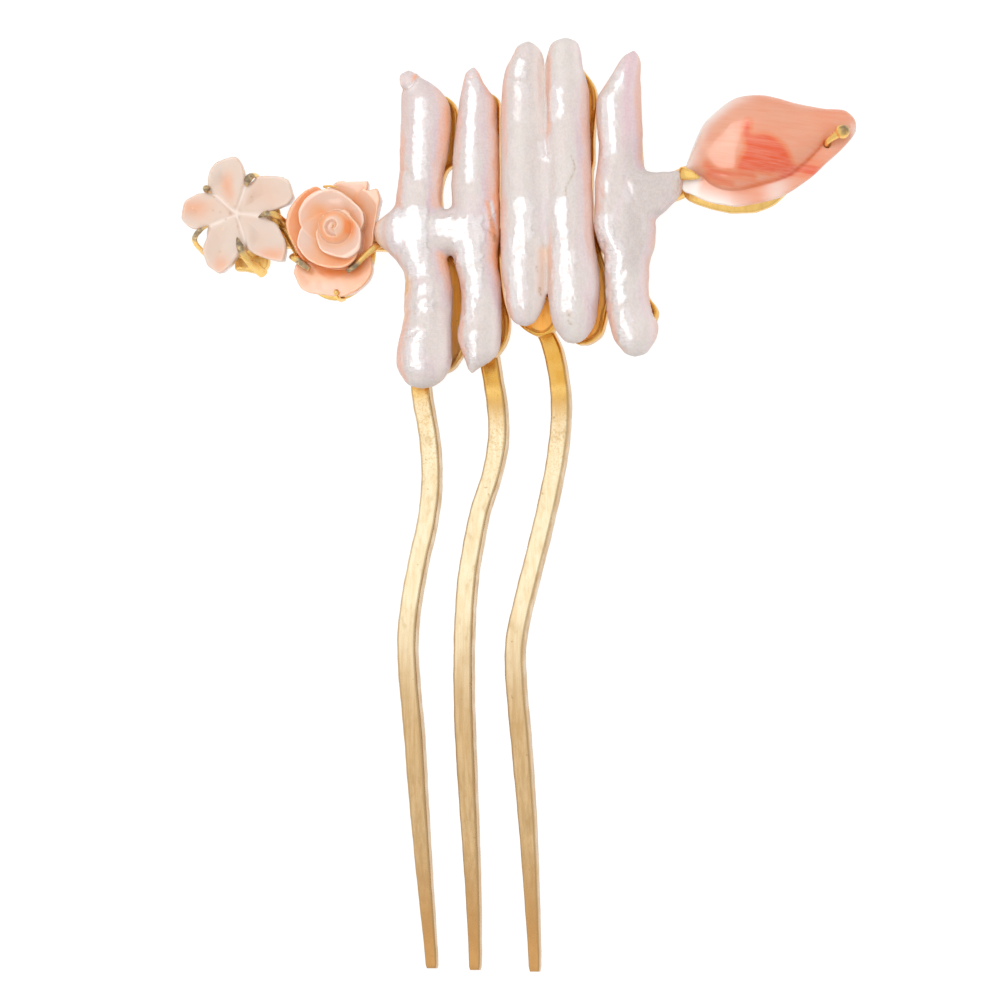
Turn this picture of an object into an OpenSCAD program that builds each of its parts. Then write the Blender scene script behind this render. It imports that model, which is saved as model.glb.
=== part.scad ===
// A three-pronged bun hairpin: stick pearls and carved coral in one soldered gilt mount.
// It lies on its back. X runs to the right, Y from the prong tips to the head, Z up out of the
// surface. Z is 0 on the flat back, and the origin is at the middle of the outline.

/* [Prongs] */
// Width and thickness of a prong over most of its length
prong_w = 1.8; // [1.5:0.1:2.2]
// Width and thickness of a prong at its tip
tip_w = 0.95; // [0.8:0.05:1.3]
// Height of the prongs' middle line where they bow up from the surface
bow = 4.0; // [3:0.1:5]

/* [Mount] */
// Thickness of the flat bar that joins the settings along the back
bar_thick = 1.6; // [1.4:0.1:1.8]
// Width of that bar
bar_w = 3.2; // [2.6:0.1:3.6]
// Height of the floor of each pearl's tray
tray_floor = 2.4; // [2.2:0.1:2.5]
// Height of the rim of each pearl's tray
tray_rim = 3.5; // [3.2:0.1:3.8]
// Thickness of a tray's rim
rim_w = 0.5; // [0.4:0.05:0.6]
// Width of a claw
claw_w = 0.9; // [0.7:0.05:1]
// Clear gap between a stone and the metal
gap = 0.12; // [0.1:0.02:0.2]

/* [Stones] */
// Height of the middle of the pair and of the cross of stick pearls
pearl_z = 5.0; // [4.9:0.1:5.2]
// Height of the middle of the twin stick pearl
twin_z = 5.5; // [5.3:0.1:5.7]
// Depth of a stick pearl as a share of its width
pearl_depth = 0.86; // [0.8:0.02:0.9]
// Height of the back of the carved corals
coral_back = 3.0; // [2.9:0.05:3.1]
// Height of the tip of the rose's bud
bud_top = 8.2; // [7.8:0.1:8.6]

/* [Hidden] */

// Moves the drawing so that the origin is at the middle of the outline
centred = [0.453, -0.05, 0];

gilt = "#dca445";
nacre = "#e2d8d4";
salmon = "#f0a688";
blush = "#f0d3c6";

stone_sides = 14;
claw_sides = 6;
curve_steps = 2;
// How far soldered pieces of metal run into each other
overlap = 0.2;

// Columns of a prong's route: y, x. The first row is under the head, the last is the tip.
left_route = [[25, -10.7], [17, -11.25], [12.5, -11.2], [7, -10.3], [2.2, -10.05], [-2, -10.4],
    [-5.5, -11.05], [-10, -11.7], [-14, -12], [-18, -11.8], [-24, -11.25], [-30, -10.95], [-39, -10.55],
    [-48.2, -10.1]];
middle_route = [[25, -5.4], [14.3, -3.65], [10.5, -3.05], [7, -2.95], [3.3, -3.6], [-0.5, -4.7],
    [-4.6, -5.35], [-8, -5.75], [-14, -5.95], [-21, -5.9], [-29, -5.65], [-39, -5.45], [-48.4, -5.5]];
right_route = [[25, 0.9], [20, 1.4], [16.5, 2.9], [12.2, 3.7], [8.7, 3.75], [5, 3.35], [0.9, 2.65],
    [-4, 1.7], [-9, 0.6], [-14, -0.4], [-18, -0.45], [-26, 0.2], [-35, 0.65], [-48.6, 0.85]];
// Where a prong starts to taper, and the length of the taper
taper_y = -24;
taper_long = 24.6;
// How much the last ring of a prong is drawn in, and the bevel as a share of a prong's half width
tip_share = 0.6;
bevel_share = 0.25;
// Columns of the bow that the prongs share: y, height of the middle line as a share of bow
bow_table = [[25, 0.225], [8, 0.24], [2, 0.33], [-5, 0.65], [-12, 0.92], [-20, 1.02], [-28, 0.93],
    [-36, 0.64], [-43, 0.32], [-47.5, 0.125], [-49, 0.1]];

// Columns of a stick of pearl: x, y, half width
pair_left = [[-11.1, 45.1, 0.8], [-10.8, 44.3, 1.6], [-10.25, 43, 2.3], [-10, 41.2, 2.6],
    [-10.1, 37.6, 2.6], [-10.45, 35, 2.4], [-10.75, 32, 2.45], [-10.6, 29, 2.75], [-10.5, 26.3, 2.7],
    [-9.85, 24.3, 2.45], [-9.65, 22, 2.55], [-9.8, 19.2, 2.6], [-10.15, 16.5, 2.9], [-10.2, 14.6, 2.85],
    [-10.2, 13.3, 2.2], [-10.3, 12.5, 1.3], [-10.3, 12.15, 0.4]];
pair_nub = [[-11.7, 45.75, 0.25], [-11.8, 45.4, 0.7], [-11.7, 44.7, 0.9], [-11.4, 43.6, 0.9]];
pair_lobe = [[-11.5, 28.7, 2.3], [-13.2, 28.75, 2.5], [-14.3, 28.8, 1.85], [-15.2, 28.8, 1.1],
    [-15.6, 28.8, 0.35]];
pair_bridge = [[-10, 28.6, 2.5], [-7.6, 28.6, 2.4], [-5, 28.9, 2.6]];
pair_right = [[-4.85, 46.1, 0.3], [-5, 45.4, 0.7], [-4.9, 44.4, 1.05], [-4.6, 43.2, 1.6],
    [-4.45, 42, 1.95], [-4.5, 40, 2.15], [-4.6, 36, 2.5], [-4.6, 32, 2.5], [-4.65, 28, 2.5],
    [-4.65, 25.6, 2.3], [-4.15, 23, 2.15], [-4.05, 20.4, 2.15], [-4.25, 17.7, 2.3], [-4.15, 16, 1.95],
    [-4.4, 14.9, 1.35], [-4.9, 14.1, 0.6], [-5, 13.5, 0.2]];
twin_left = [[1.1, 48.5, 0.4], [0.95, 48, 0.95], [1, 47, 1.55], [0.7, 45.6, 2], [0.55, 44, 2.15],
    [0.55, 42.5, 2.25], [0.65, 39.4, 2.4], [0.7, 34.8, 2.5], [0.7, 28.7, 2.5], [0.7, 26.4, 2.5],
    [0.65, 24.1, 2.3], [0.8, 22.3, 2.15], [0.8, 20.6, 1.95], [0.7, 19.4, 1.5], [0.7, 18.7, 0.9],
    [0.8, 18.35, 0.35]];
twin_right = [[5.1, 48.7, 0.6], [5, 48.2, 1.25], [4.95, 47.2, 1.7], [4.95, 45.7, 1.95],
    [5.15, 43.5, 2.3], [5.25, 42, 2.35], [5.25, 39, 2.4], [5.3, 35.7, 2.45], [5.25, 32, 2.5],
    [5.3, 28.5, 2.5], [5.6, 26.1, 2.6], [5.85, 23.8, 2.75], [5.95, 22, 2.75], [5.9, 20.3, 2.55],
    [5.95, 18.6, 2.25], [5.95, 17.3, 1.5], [5.9, 16.6, 0.8], [5.9, 16.4, 0.3]];
twin_seam = [[2.9, 42, 0.5], [2.9, 38.5, 1.6], [2.9, 32, 1.8], [2.9, 27, 1.4], [3, 25, 0.5]];
cross_up = [[12.3, 47.2, 0.35], [12, 46.6, 0.75], [11.75, 45.7, 1.2], [11.4, 44.6, 1.55],
    [11, 43.3, 1.95], [10.65, 42.2, 2.3], [10.6, 41, 2.4], [10.75, 38.6, 2.4], [10.8, 36.9, 2.3],
    [10.8, 35.2, 2.35], [11, 33, 2.7], [11.2, 31, 2.9], [11.45, 28.6, 3.1], [11.45, 27.4, 3],
    [11.55, 26.2, 2.75], [11.55, 25.2, 2.4], [11.45, 24, 2.35], [11.5, 21.5, 2.25], [11.75, 19.6, 2.35],
    [12.2, 18.1, 2.5], [12.3, 16.8, 2.2], [12.35, 15.8, 1.55], [12.35, 15.2, 0.95], [12.3, 14.9, 0.35]];
cross_arm = [[11.5, 31.6, 2.6], [13.5, 31.7, 2.55], [15, 31.95, 2.25], [16, 32.4, 1.85],
    [16.8, 32.85, 1.45], [17.2, 33.1, 1.1], [17.4, 33.3, 0.5]];

// Columns of a tray under a pearl: y, left edge, right edge
tray_pair_left = [[43.4, -11, -8.5], [42.6, -12.2, -8], [41, -12.4, -7.4], [38, -12.4, -7.5],
    [35.5, -12.6, -8.1], [32.5, -13, -8.8], [28, -13.2, -8], [25.8, -12.4, -7.5], [22, -12, -7.2],
    [18, -12.2, -7.15], [15.8, -12.6, -7.3], [14.4, -12, -8.2], [13.6, -11, -9.6]];
tray_pair_right = [[43.6, -5, -3.6], [42.7, -5.7, -2.6], [40, -6, -2.5], [36, -6.5, -2.5],
    [32, -6.7, -2.5], [28, -6.7, -2.5], [25, -6.2, -2.4], [21.7, -5.9, -2], [19.4, -6, -1.45],
    [17.4, -6.1, -1.7], [15.9, -5.5, -2.6], [15, -4.8, -3.8]];
tray_twin_left = [[46.8, -0.2, 1.2], [45.2, -1.2, 2], [42, -1.5, 2.3], [35.5, -1.6, 2.4], [29, -1.6, 2.4],
    [24.8, -1.5, 2.1], [22.6, -1.2, 2], [20.4, -0.9, 3], [19, -0.3, 3.35], [18, 0.6, 3], [17.5, 1.5, 2.4]];
tray_twin_right = [[46.8, 4.4, 5.6], [45.2, 3.6, 6.6], [43.5, 3.2, 7.3], [38.6, 3.1, 7.4],
    [34.3, 3.1, 7.4], [29, 3.1, 7.6], [25.6, 3.3, 8.4], [22.4, 3.6, 8.6], [18.8, 4.1, 8.65],
    [17.6, 4.8, 8.3], [16.9, 5.4, 7.5], [16.6, 6, 6.8]];
tray_cross = [[45.8, 11, 12], [44, 10, 12.3], [42, 9, 12.5], [38, 8.9, 12.6], [35, 8.9, 12.8],
    [28.3, 9, 13.8], [25.9, 9.5, 13.6], [23.1, 9.6, 13.35], [20.7, 9.8, 13.4], [18.8, 10, 14],
    [17.3, 10.5, 13.9], [16.2, 11.4, 13.1]];
tray_arm = [[34, 12, 16.1], [33, 12, 16.5], [31.4, 12, 16], [30.4, 12, 14.8]];

// Route of the flat bar along the back: x, y
bar_route = [[-28.5, 29.8], [-20, 28.6], [-10, 28], [0, 28], [10, 28], [16, 32], [22, 35], [27, 36.5]];

flower_middle = [-30.6, 31.1];
// Columns of the flower's petals: direction in degrees, length, half width
petals = [[108, 6.3, 2.35], [29, 6.3, 2.2], [-41, 6.5, 2.15], [-110, 6, 1.95], [176, 5.9, 1.95]];
// Columns along a petal: share of its length, share of its half width, height of its middle, half thickness
petal_form = [[-0.1, 0.3, 4.1, 0.9], [0.2, 0.66, 4.1, 0.95], [0.5, 0.96, 4.2, 1], [0.73, 1, 4.4, 0.95],
    [0.89, 0.78, 4.55, 0.75], [0.97, 0.45, 4.6, 0.5], [1, 0.15, 4.6, 0.2]];
// The ball that scoops a dish out of each petal: where it lies along the petal, its half length as a
// share of the petal's length, its half width as a share of the petal's, and the height of its middle
dish_at = 0.6;
dish_long = 0.3;
dish_wide = 0.75;
dish_z = 5.9;
// Cups under the flower and the rose: middle x, middle y, half width along x, half width along y
flower_cup = [-30.2, 30.8, 4, 4];
rose_cup = [-20.2, 28.2, 5.2, 6];
cup_z = 1;
cup_edge = 0.4;

rose_middle = [-20, 29.8];
// Columns of the rose's back petals: x, y, half width along x, half width along y, height of the middle
back_petals = [[-20.4, 25.3, 4.2, 2.9, 4.3], [-17.7, 31.2, 2.7, 3.3, 4.4], [-22.95, 30.45, 1.9, 3.75, 4.4],
    [-18.2, 26.4, 2.1, 3.2, 4.3], [-20.1, 29.35, 3.3, 3.5, 4.6]];
// Columns of the rose's curled petals: first and last direction in degrees, radius, half width,
// height of the lip
curled_petals = [[205, 310, 3.75, 0.8, 6], [4, 186, 3.02, 0.75, 6.5], [-115, 5, 2.75, 0.75, 6.8]];
// Half the height of a curled petal
lip_high = 1.4;
// Columns of the rose's bud: height, radius
bud_rows = [[4, 2.3], [5, 2.3], [6.8, 1.7], [bud_top, 0.35]];

// Columns of the leaf: x, lower edge, fold, upper edge, height of the dome
leaf_rows = [[17.55, 32.5, 33.4, 34.2, 4.3], [18.3, 31.8, 33.9, 36.4, 5], [19.4, 31.2, 33.9, 39, 5.9],
    [21, 30.7, 33, 40.7, 6.8], [23, 30.4, 32.4, 41.8, 7.4], [25, 30.6, 32.5, 42.1, 7.6],
    [27, 31, 33, 41.9, 7.4], [29, 31.9, 33.8, 41.3, 6.9], [31, 33.3, 35.2, 40.7, 6.2],
    [32.6, 34.8, 36.6, 40.4, 5.5], [34.2, 36.2, 37.6, 40.3, 5], [35.2, 37.3, 38.2, 39.6, 4.6],
    [35.6, 38, 38.4, 38.9, 4.3]];
leaf_thick = 1.6;
leaf_z = coral_back + leaf_thick / 2;
leaf_tray = [[41, 22.5, 29], [39, 20.2, 31.5], [36.5, 18.8, 33], [33.5, 17.2, 29.6], [31.6, 17.2, 27.8],
    [30.4, 19.6, 26.4], [29.8, 22, 24.6]];

// The balls and beads of metal: place, then width
flower_ball = [[-33.5, 33.9, 5.9], 0.95];
rose_ball = [[-19.5, 22.9, 4.1], 0.7];
leaf_ball = [[34.4, 37.6, 6.3], 1.5];

// Routes of the claws, from the setting to the tip: x, y, height
flower_claws = [
    [[-29.6, 33.4, 2], [-28.4, 35.8, 2.6], [-28.1, 35.8, 4.2],
        [-28.5, 35.5, 5.6], [-29, 34.9, 6.1], [-29.2, 34.1, 5.9]],
    [[-28, 30.8, 2], [-25.7, 30.5, 2.4], [-25.6, 30.7, 4],
        [-26.1, 30.9, 5.6], [-26.9, 31, 6.1], [-27.9, 30.7, 5.8]],
    [[-30.2, 28, 2], [-28.6, 25.5, 2.5], [-29.2, 25.8, 3.8],
        [-29.7, 26.6, 5.5], [-30.1, 27.5, 6.1], [-30.2, 28.6, 5.9]],
    [[-32.5, 29.6, 2], [-35, 27.9, 2.6], [-35.5, 28.3, 4.2],
        [-35.1, 28.8, 5.6], [-34.4, 29.4, 6.1], [-33.4, 29.9, 5.8]],
    [[-32.2, 32.4, 2], [-33.7, 34, 2.6], [-33.8, 34.1, 4.2], [-33.7, 34, 5.2], [-33.55, 33.9, 5.9]]];
rose_claws = [
    [[-23.6, 27.4, 2], [-25.5, 27.1, 2.6], [-25.4, 27.1, 4],
        [-24.6, 26.7, 5], [-23.6, 26, 5.6], [-22.7, 25.4, 5.5]],
    [[-16.8, 28.2, 2], [-15.1, 28.2, 2.6], [-15.2, 28.2, 4],
        [-16.2, 27.2, 5.2], [-17.3, 26.1, 5.6], [-18.3, 25, 5.3]]];
leaf_claw = [[18.6, 33.4, 2.2], [17.1, 34.4, 2.6], [17.2, 34, 4.6], [17.8, 33.6, 5.6],
    [18.7, 33.4, 5.9], [19.4, 33.3, 5.9]];
// The pin that stands up through the leaf and bends over to a ball
leaf_pin = [[32.2, 36.4, 2], [32.2, 36.4, 5.6], [33, 37, 6.4], [34.4, 37.6, 6.3]];
pin_d = 0.8;
rose_post = [[-19.7, 23.6, 2], [-19.5, 22.5, 3], [-19.5, 22.8, 4]];

// A smooth curve through rows of any number of columns
function pass(a, b, c, d, t) =
    b + (c - a) * t / 2 + (a - 2.5 * b + 2 * c - d / 2) * t * t + (d - a + 3 * (b - c)) * t * t * t / 2;
function curve(rows, steps = curve_steps) = [
    for (i = [0 : len(rows) - 2], k = [0 : steps - 1])
        pass(rows[max(i - 1, 0)], rows[i], rows[i + 1], rows[min(i + 2, len(rows) - 1)], k / steps),
    rows[len(rows) - 1]];
// One ring of a stick: an ellipse in the plane of across and Z
function ring(middle, across, wide, front, back, sides) = [
    for (k = [0 : sides - 1]) let (a = 360 * k / sides)
        middle + across * wide * cos(a) + [0, 0, (sin(a) > 0 ? front : back) * sin(a)]];

// A solid through rings of points, each span being the hull of two rings
module through(rings)
    for (i = [0 : len(rings) - 2])
        hull()
            polyhedron(concat(rings[i], rings[i + 1]), [[for (k = [0 : 2 * len(rings[i]) - 1]) k]]);

// A share that runs evenly from -1 at the first of some rows to 1 at the last
function run(i, rows) = 2 * i / (len(rows) - 1) - 1;

// One stick of a pearl along its table, grown by a margin all round and at both ends
module stick(rows, z, grow, across = [1, 0, 0]) {
    along = across[0] == 1 ? [0, -1, 0] : [1, 0, 0];
    direction = (rows[len(rows) - 1] - rows[0]) * [along[0], along[1], 0] > 0 ? along : -along;
    through([for (i = [0 : len(rows) - 1]) let (r = rows[i], wide = r[2] + grow)
        ring([r[0], r[1], z] + direction * grow * run(i, rows), across, wide,
            wide * pearl_depth, wide * pearl_depth, stone_sides)]);
}

// A claw along its route, thinning towards the tip
module claw(route)
    for (i = [0 : len(route) - 2])
        hull()
            for (k = [i, i + 1])
                translate(route[k])
                    sphere(d = claw_w * (1.15 - 0.5 * k / (len(route) - 1)), $fn = claw_sides);

// The height of the prongs' middle line at one distance along them
function bow_at(y) = bow * lookup(y, curve(bow_table, 3));
// The width of a prong: full for three quarters of its length, then tapering to the tip
function prong_at(y) = prong_w + (tip_w - prong_w) * pow(max(0, min(1, (taper_y - y) / taper_long)), 1.3);

// A square prong with bevelled edges along its route
module prong(route) {
    places = curve(route);
    count = len(places);
    through([for (i = [0 : count - 1])
        let (x = places[i][1], y = places[i][0], w = prong_at(y) / 2 * (i == count - 1 ? tip_share : 1),
             bevel = w * bevel_share, z = max(bow_at(y), w))
            [for (c = [[1, -1], [1, 1], [-1, 1], [-1, -1]], s = [0, 1])
                let (turn = c[0] * c[1] > 0 ? s : 1 - s)
                    [x + c[0] * (w - (turn == 0 ? 0 : bevel)), y,
                        z + c[1] * (w - (turn == 0 ? bevel : 0))]]]);
}

// The outline of a tray from its table, smoothed
module outline(rows) {
    places = curve(rows);
    count = len(places);
    polygon(concat([for (r = places) [r[1], r[0]]],
        [for (i = [count - 1 : -1 : 0]) [places[i][2], places[i][0]]]));
}

// A tray with a flat floor and a raised rim
module tray(rows, floor_z = tray_floor, rim_z = tray_rim) {
    translate([0, 0, bar_thick - overlap])
        linear_extrude(floor_z - bar_thick + overlap)
            outline(rows);
    translate([0, 0, floor_z - overlap])
        linear_extrude(rim_z - floor_z + overlap)
            difference() {
                outline(rows);
                offset(delta = -rim_w)
                    outline(rows);
            }
}

// The flat bar along the back
module back_bar()
    for (i = [0 : len(bar_route) - 2])
        hull()
            for (p = [bar_route[i], bar_route[i + 1]])
                translate(p)
                    cylinder(h = bar_thick, d = bar_w, $fn = 20);

// A shallow cup under a carved coral, narrower at its back
module cup(c)
    translate([c[0], c[1], 0])
        scale([c[2], c[3], 1])
            hull() {
                translate([0, 0, cup_z])
                    cylinder(h = cup_edge, r = 0.8, $fn = 28);
                translate([0, 0, coral_back - gap - cup_edge])
                    cylinder(h = cup_edge, r = 1, $fn = 28);
            }

// A ball or bead of metal from its place and width
module ball(b, grow = 0)
    translate(b[0])
        sphere(d = b[1] + 2 * grow, $fn = stone_sides);

// The metal before the stones are cut out of it
module metal_blank() {
    prong(left_route);
    prong(middle_route);
    prong(right_route);
    back_bar();
    for (rows = [tray_pair_left, tray_pair_right, tray_twin_left, tray_twin_right, tray_cross, tray_arm])
        tray(rows);
    tray(leaf_tray, coral_back - overlap, coral_back + overlap);
    cup(flower_cup);
    cup(rose_cup);
    for (route = flower_claws)
        claw(route);
    for (route = rose_claws)
        claw(route);
    claw(rose_post);
    claw(leaf_claw);
    ball(flower_ball);
    ball(rose_ball);
}

// The leaf's pin with its ball, which passes through the stone and so isn't cut back from it
module pin(grow = 0) {
    for (i = [0 : len(leaf_pin) - 2])
        hull()
            for (p = [leaf_pin[i], leaf_pin[i + 1]])
                translate(p)
                    sphere(d = pin_d + 2 * grow, $fn = claw_sides);
    ball(leaf_ball, grow);
}

// All the metal, soldered into one
module mount()
    color(gilt)
        translate(centred) {
            difference() {
                metal_blank();
                pair_body(gap);
                twin_body(gap);
                cross_body(gap);
                flower_body(gap);
                rose_body(gap);
                leaf_body(gap);
            }
            pin();
        }

// The stones, grown by a margin where the metal is cut back from them
module pair_body(grow = 0) {
    for (rows = [pair_left, pair_right, pair_nub])
        stick(rows, pearl_z, grow);
    for (rows = [pair_lobe, pair_bridge])
        stick(rows, pearl_z, grow, [0, 1, 0]);
}

module twin_body(grow = 0)
    for (rows = [twin_left, twin_right, twin_seam])
        stick(rows, twin_z, grow);

module cross_body(grow = 0) {
    stick(cross_up, pearl_z, grow);
    stick(cross_arm, pearl_z, grow, [0, 1, 0]);
}

// One petal of the flower, lying along X
module petal(long, wide, grow) {
    difference() {
        through([for (r = petal_form)
            ring([r[0] * (long + grow), 0, r[2]], [0, 1, 0], r[1] * wide + grow, r[3] + grow, r[3] + grow,
                stone_sides)]);
        translate([long * dish_at, 0, dish_z])
            scale([long * dish_long, wide * dish_wide, 1])
                sphere(r = 1 - grow, $fn = 16);
    }
}

module flower_body(grow = 0)
    translate(flower_middle)
        for (p = petals)
            rotate(p[0])
                petal(p[1], p[2], grow);

// One curled petal of the rose: a lip that follows an arc and thins out at both ends
module curled(p, grow) {
    turns = 8;
    through([for (i = [0 : turns])
        let (a = p[0] + (p[1] - p[0]) * i / turns, out = [cos(a), sin(a), 0],
             full = 0.25 + 0.75 * sin(180 * i / turns))
            ring([0, 0, p[4] - lip_high] + out * p[2], out, p[3] * full + grow, lip_high * full + grow,
                lip_high + grow, 10)]);
}

module rose_body(grow = 0) {
    for (b = back_petals)
        translate([b[0], b[1], b[4]])
            resize([2 * (b[2] + grow), 2 * (b[3] + grow), 2 * (b[4] - coral_back + grow)])
                sphere(r = 1, $fn = stone_sides);
    translate(rose_middle) {
        for (p = curled_petals)
            curled(p, grow);
        through([for (i = [0 : len(bud_rows) - 1]) let (b = bud_rows[i])
            [for (k = [0 : stone_sides - 1]) let (a = 360 * k / stone_sides, r = b[1] + grow)
                [r * cos(a), r * sin(a), b[0] + grow * run(i, bud_rows)]]]);
    }
}

// A flat plate over the leaf's whole width, then the dome between its fold and its upper edge
module leaf_body(grow = 0) {
    half = leaf_thick / 2 + grow;
    through([for (i = [0 : len(leaf_rows) - 1]) let (r = leaf_rows[i], x = r[0] + grow * run(i, leaf_rows))
        ring([x, (r[1] + r[3]) / 2, leaf_z], [0, 1, 0], (r[3] - r[1]) / 2 + grow, half, half, stone_sides)]);
    through([for (i = [0 : len(leaf_rows) - 1]) let (r = leaf_rows[i], x = r[0] + grow * run(i, leaf_rows))
        ring([x, (r[2] + r[3]) / 2, leaf_z], [0, 1, 0], (r[3] - r[2]) / 2 + grow, r[4] - leaf_z + grow,
            half, stone_sides)]);
}

module pearl_pair()
    color(nacre)
        translate(centred)
            pair_body();

module pearl_twin()
    color(nacre)
        translate(centred)
            twin_body();

module pearl_cross()
    color(nacre)
        translate(centred)
            cross_body();

module coral_flower()
    color(blush)
        translate(centred)
            flower_body();

module coral_rose()
    color(salmon)
        translate(centred)
            rose_body();

module coral_leaf()
    color(salmon)
        translate(centred)
            difference() {
                leaf_body();
                pin(gap);
            }

mount();
pearl_pair();
pearl_twin();
pearl_cross();
coral_flower();
coral_rose();
coral_leaf();
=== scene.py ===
"""A bun hairpin with stick pearls and carved coral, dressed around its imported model.

The tables below are in millimetres, drawn before the shift CENTRED, and MM turns them into metres.
"""

import math

import bpy
import numpy as np
import openvdb
from mathutils import Matrix, Vector

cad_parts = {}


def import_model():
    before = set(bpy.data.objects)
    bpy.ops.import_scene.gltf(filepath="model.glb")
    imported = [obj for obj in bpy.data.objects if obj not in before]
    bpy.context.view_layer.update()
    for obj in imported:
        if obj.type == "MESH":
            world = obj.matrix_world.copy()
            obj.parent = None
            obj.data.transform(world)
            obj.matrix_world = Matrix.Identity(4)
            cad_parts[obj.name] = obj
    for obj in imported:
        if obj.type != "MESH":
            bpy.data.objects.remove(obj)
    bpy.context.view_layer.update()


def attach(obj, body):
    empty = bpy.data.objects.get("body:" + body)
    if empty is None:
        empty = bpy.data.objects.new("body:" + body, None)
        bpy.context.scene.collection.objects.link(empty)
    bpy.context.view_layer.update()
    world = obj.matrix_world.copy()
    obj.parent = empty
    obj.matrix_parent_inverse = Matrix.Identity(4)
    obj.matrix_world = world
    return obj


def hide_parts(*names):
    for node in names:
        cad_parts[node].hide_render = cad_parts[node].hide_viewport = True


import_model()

MM = 0.001
CENTRED = np.array([0.453, -0.05, 0.0])

# Size of the cells that each stone is meshed in, and the box they fill
CELLS = {
    "pearl_pair": 0.125, "pearl_twin": 0.12, "pearl_cross": 0.12,
    "coral_flower": 0.075, "coral_rose": 0.075, "coral_leaf": 0.1,
}
BOXES = {
    "pearl_pair": ((-16.4, 11.3, 1.8), (-1.2, 46.9, 8.2)),
    "pearl_twin": ((-2.7, 15.6, 2.2), (9.6, 49.6, 8.8)),
    "pearl_cross": ((7.6, 14.1, 1.6), (18.3, 48.0, 8.4)),
    "coral_flower": ((-37.2, 24.4, 2.7), (-23.9, 38.2, 6.2)),
    "coral_rose": ((-25.9, 21.8, 2.7), (-14.2, 35.2, 8.5)),
    "coral_leaf": ((16.6, 29.9, 2.7), (36.2, 42.6, 7.9)),
}
# How far from a stone's surface its field is roughened
RELIEF_REACH = 0.8
# Lumps of each stone, as layers of noise. Columns: height, cells to the millimetre along x, y and z, seed.
ROUGHNESS = {
    "pearl_pair": [(0.09, 0.55, 0.42, 0.5, 11), (0.04, 1.3, 1.1, 1.2, 12), (0.018, 4.5, 1.4, 4.0, 15)],
    "pearl_twin": [(0.07, 0.5, 0.3, 0.5, 21), (0.04, 1.3, 0.55, 1.2, 22), (0.008, 6.0, 2.2, 5.0, 24)],
    "pearl_cross": [(0.08, 0.6, 0.45, 0.5, 31), (0.05, 1.5, 1.2, 1.2, 32), (0.01, 3.6, 4.2, 3.4, 34)],
    "coral_flower": [(0.03, 0.6, 0.6, 0.6, 50), (0.008, 1.6, 1.6, 1, 51)],
    "coral_rose": [(0.02, 1.6, 1.6, 1, 61)],
    "coral_leaf": [(0.04, 0.4, 0.5, 0.4, 71)],
}

# Heights of the pearls and the levels of the metal, and how deep a pearl is for its width
PEARL_Z = 5.0
TWIN_Z = 5.5
NUB_Z = 5.6
PEARL_DEPTH = 0.86
CORAL_BACK = 3.0
BAR_TOP = 1.6
TRAY_FLOOR = 2.4
TWIN_FLOOR = 3.1
TRAY_RIM = 3.5

# Sticks of pearl. Columns: x, y, half width.
PAIR_LEFT = [
    (-11.1, 45.1, 0.6), (-10.8, 44.3, 1.6), (-10.25, 43, 2.3), (-10, 41.2, 2.6), (-10.1, 37.6, 2.6),
    (-10.45, 35, 2.4), (-10.75, 32, 2.45), (-10.6, 29, 2.75), (-10.5, 26.3, 2.7), (-9.85, 24.3, 2.45),
    (-9.65, 22, 2.55), (-9.8, 19.2, 2.6), (-10.15, 16.5, 2.9), (-10.2, 14.6, 2.85), (-10.2, 13.3, 2.2),
    (-10.3, 12.5, 1.3), (-10.3, 12.15, 0),
]
PAIR_NUB = [(-11.7, 45.85, 0), (-11.8, 45.45, 0.75), (-11.7, 44.7, 1.0), (-11.4, 43.6, 0.9)]
PAIR_LOBE = [(-11.5, 28.7, 2.3), (-13.2, 28.75, 2.5), (-14.3, 28.8, 1.85), (-15.2, 28.8, 1.1),
             (-15.6, 28.8, 0)]
PAIR_BRIDGE = [(-10, 28.6, 2.5), (-7.6, 28.6, 2.4), (-5, 28.9, 2.6)]
PAIR_RIGHT = [
    (-4.85, 46.1, 0), (-5, 45.4, 0.7), (-4.9, 44.4, 1.05), (-4.6, 43.2, 1.6), (-4.45, 42, 1.95),
    (-4.5, 40, 2.15), (-4.6, 36, 2.5), (-4.6, 32, 2.5), (-4.65, 28, 2.5), (-4.65, 25.6, 2.3),
    (-4.15, 23, 2.15), (-4.05, 20.4, 2.15), (-4.25, 17.7, 2.3), (-4.15, 16, 1.95), (-4.4, 14.9, 1.35),
    (-4.9, 14.1, 0.6), (-5, 13.5, 0),
]
TWIN_LEFT = [
    (1.1, 48.5, 0), (0.95, 48, 0.95), (1, 47, 1.55), (0.7, 45.6, 2), (0.55, 44, 2.15), (0.55, 42.5, 2.25),
    (0.65, 39.4, 2.4), (0.7, 34.8, 2.5), (0.7, 28.7, 2.5), (0.7, 26.4, 2.5), (0.65, 24.1, 2.3),
    (0.8, 22.3, 2.15), (0.8, 20.6, 1.95), (0.7, 19.4, 1.5), (0.7, 18.7, 0.9), (0.8, 18.35, 0),
]
TWIN_RIGHT = [
    (5.1, 48.7, 0), (5, 48.2, 1.25), (4.95, 47.2, 1.7), (4.95, 45.7, 1.95), (5.15, 43.5, 2.3),
    (5.25, 42, 2.35), (5.25, 39, 2.4), (5.3, 35.7, 2.45), (5.35, 32, 2.58), (5.4, 28.5, 2.6),
    (5.62, 26.1, 2.65), (5.85, 23.8, 2.75), (5.95, 22, 2.75), (5.9, 20.3, 2.55), (5.95, 18.6, 2.25),
    (5.95, 17.3, 1.5), (5.9, 16.6, 0.8), (5.9, 16.4, 0),
]
TWIN_SEAM = [(2.9, 42, 0.5), (2.9, 38.5, 1.6), (2.9, 32, 1.8), (2.9, 27, 1.4), (3, 25, 0.5)]
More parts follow.
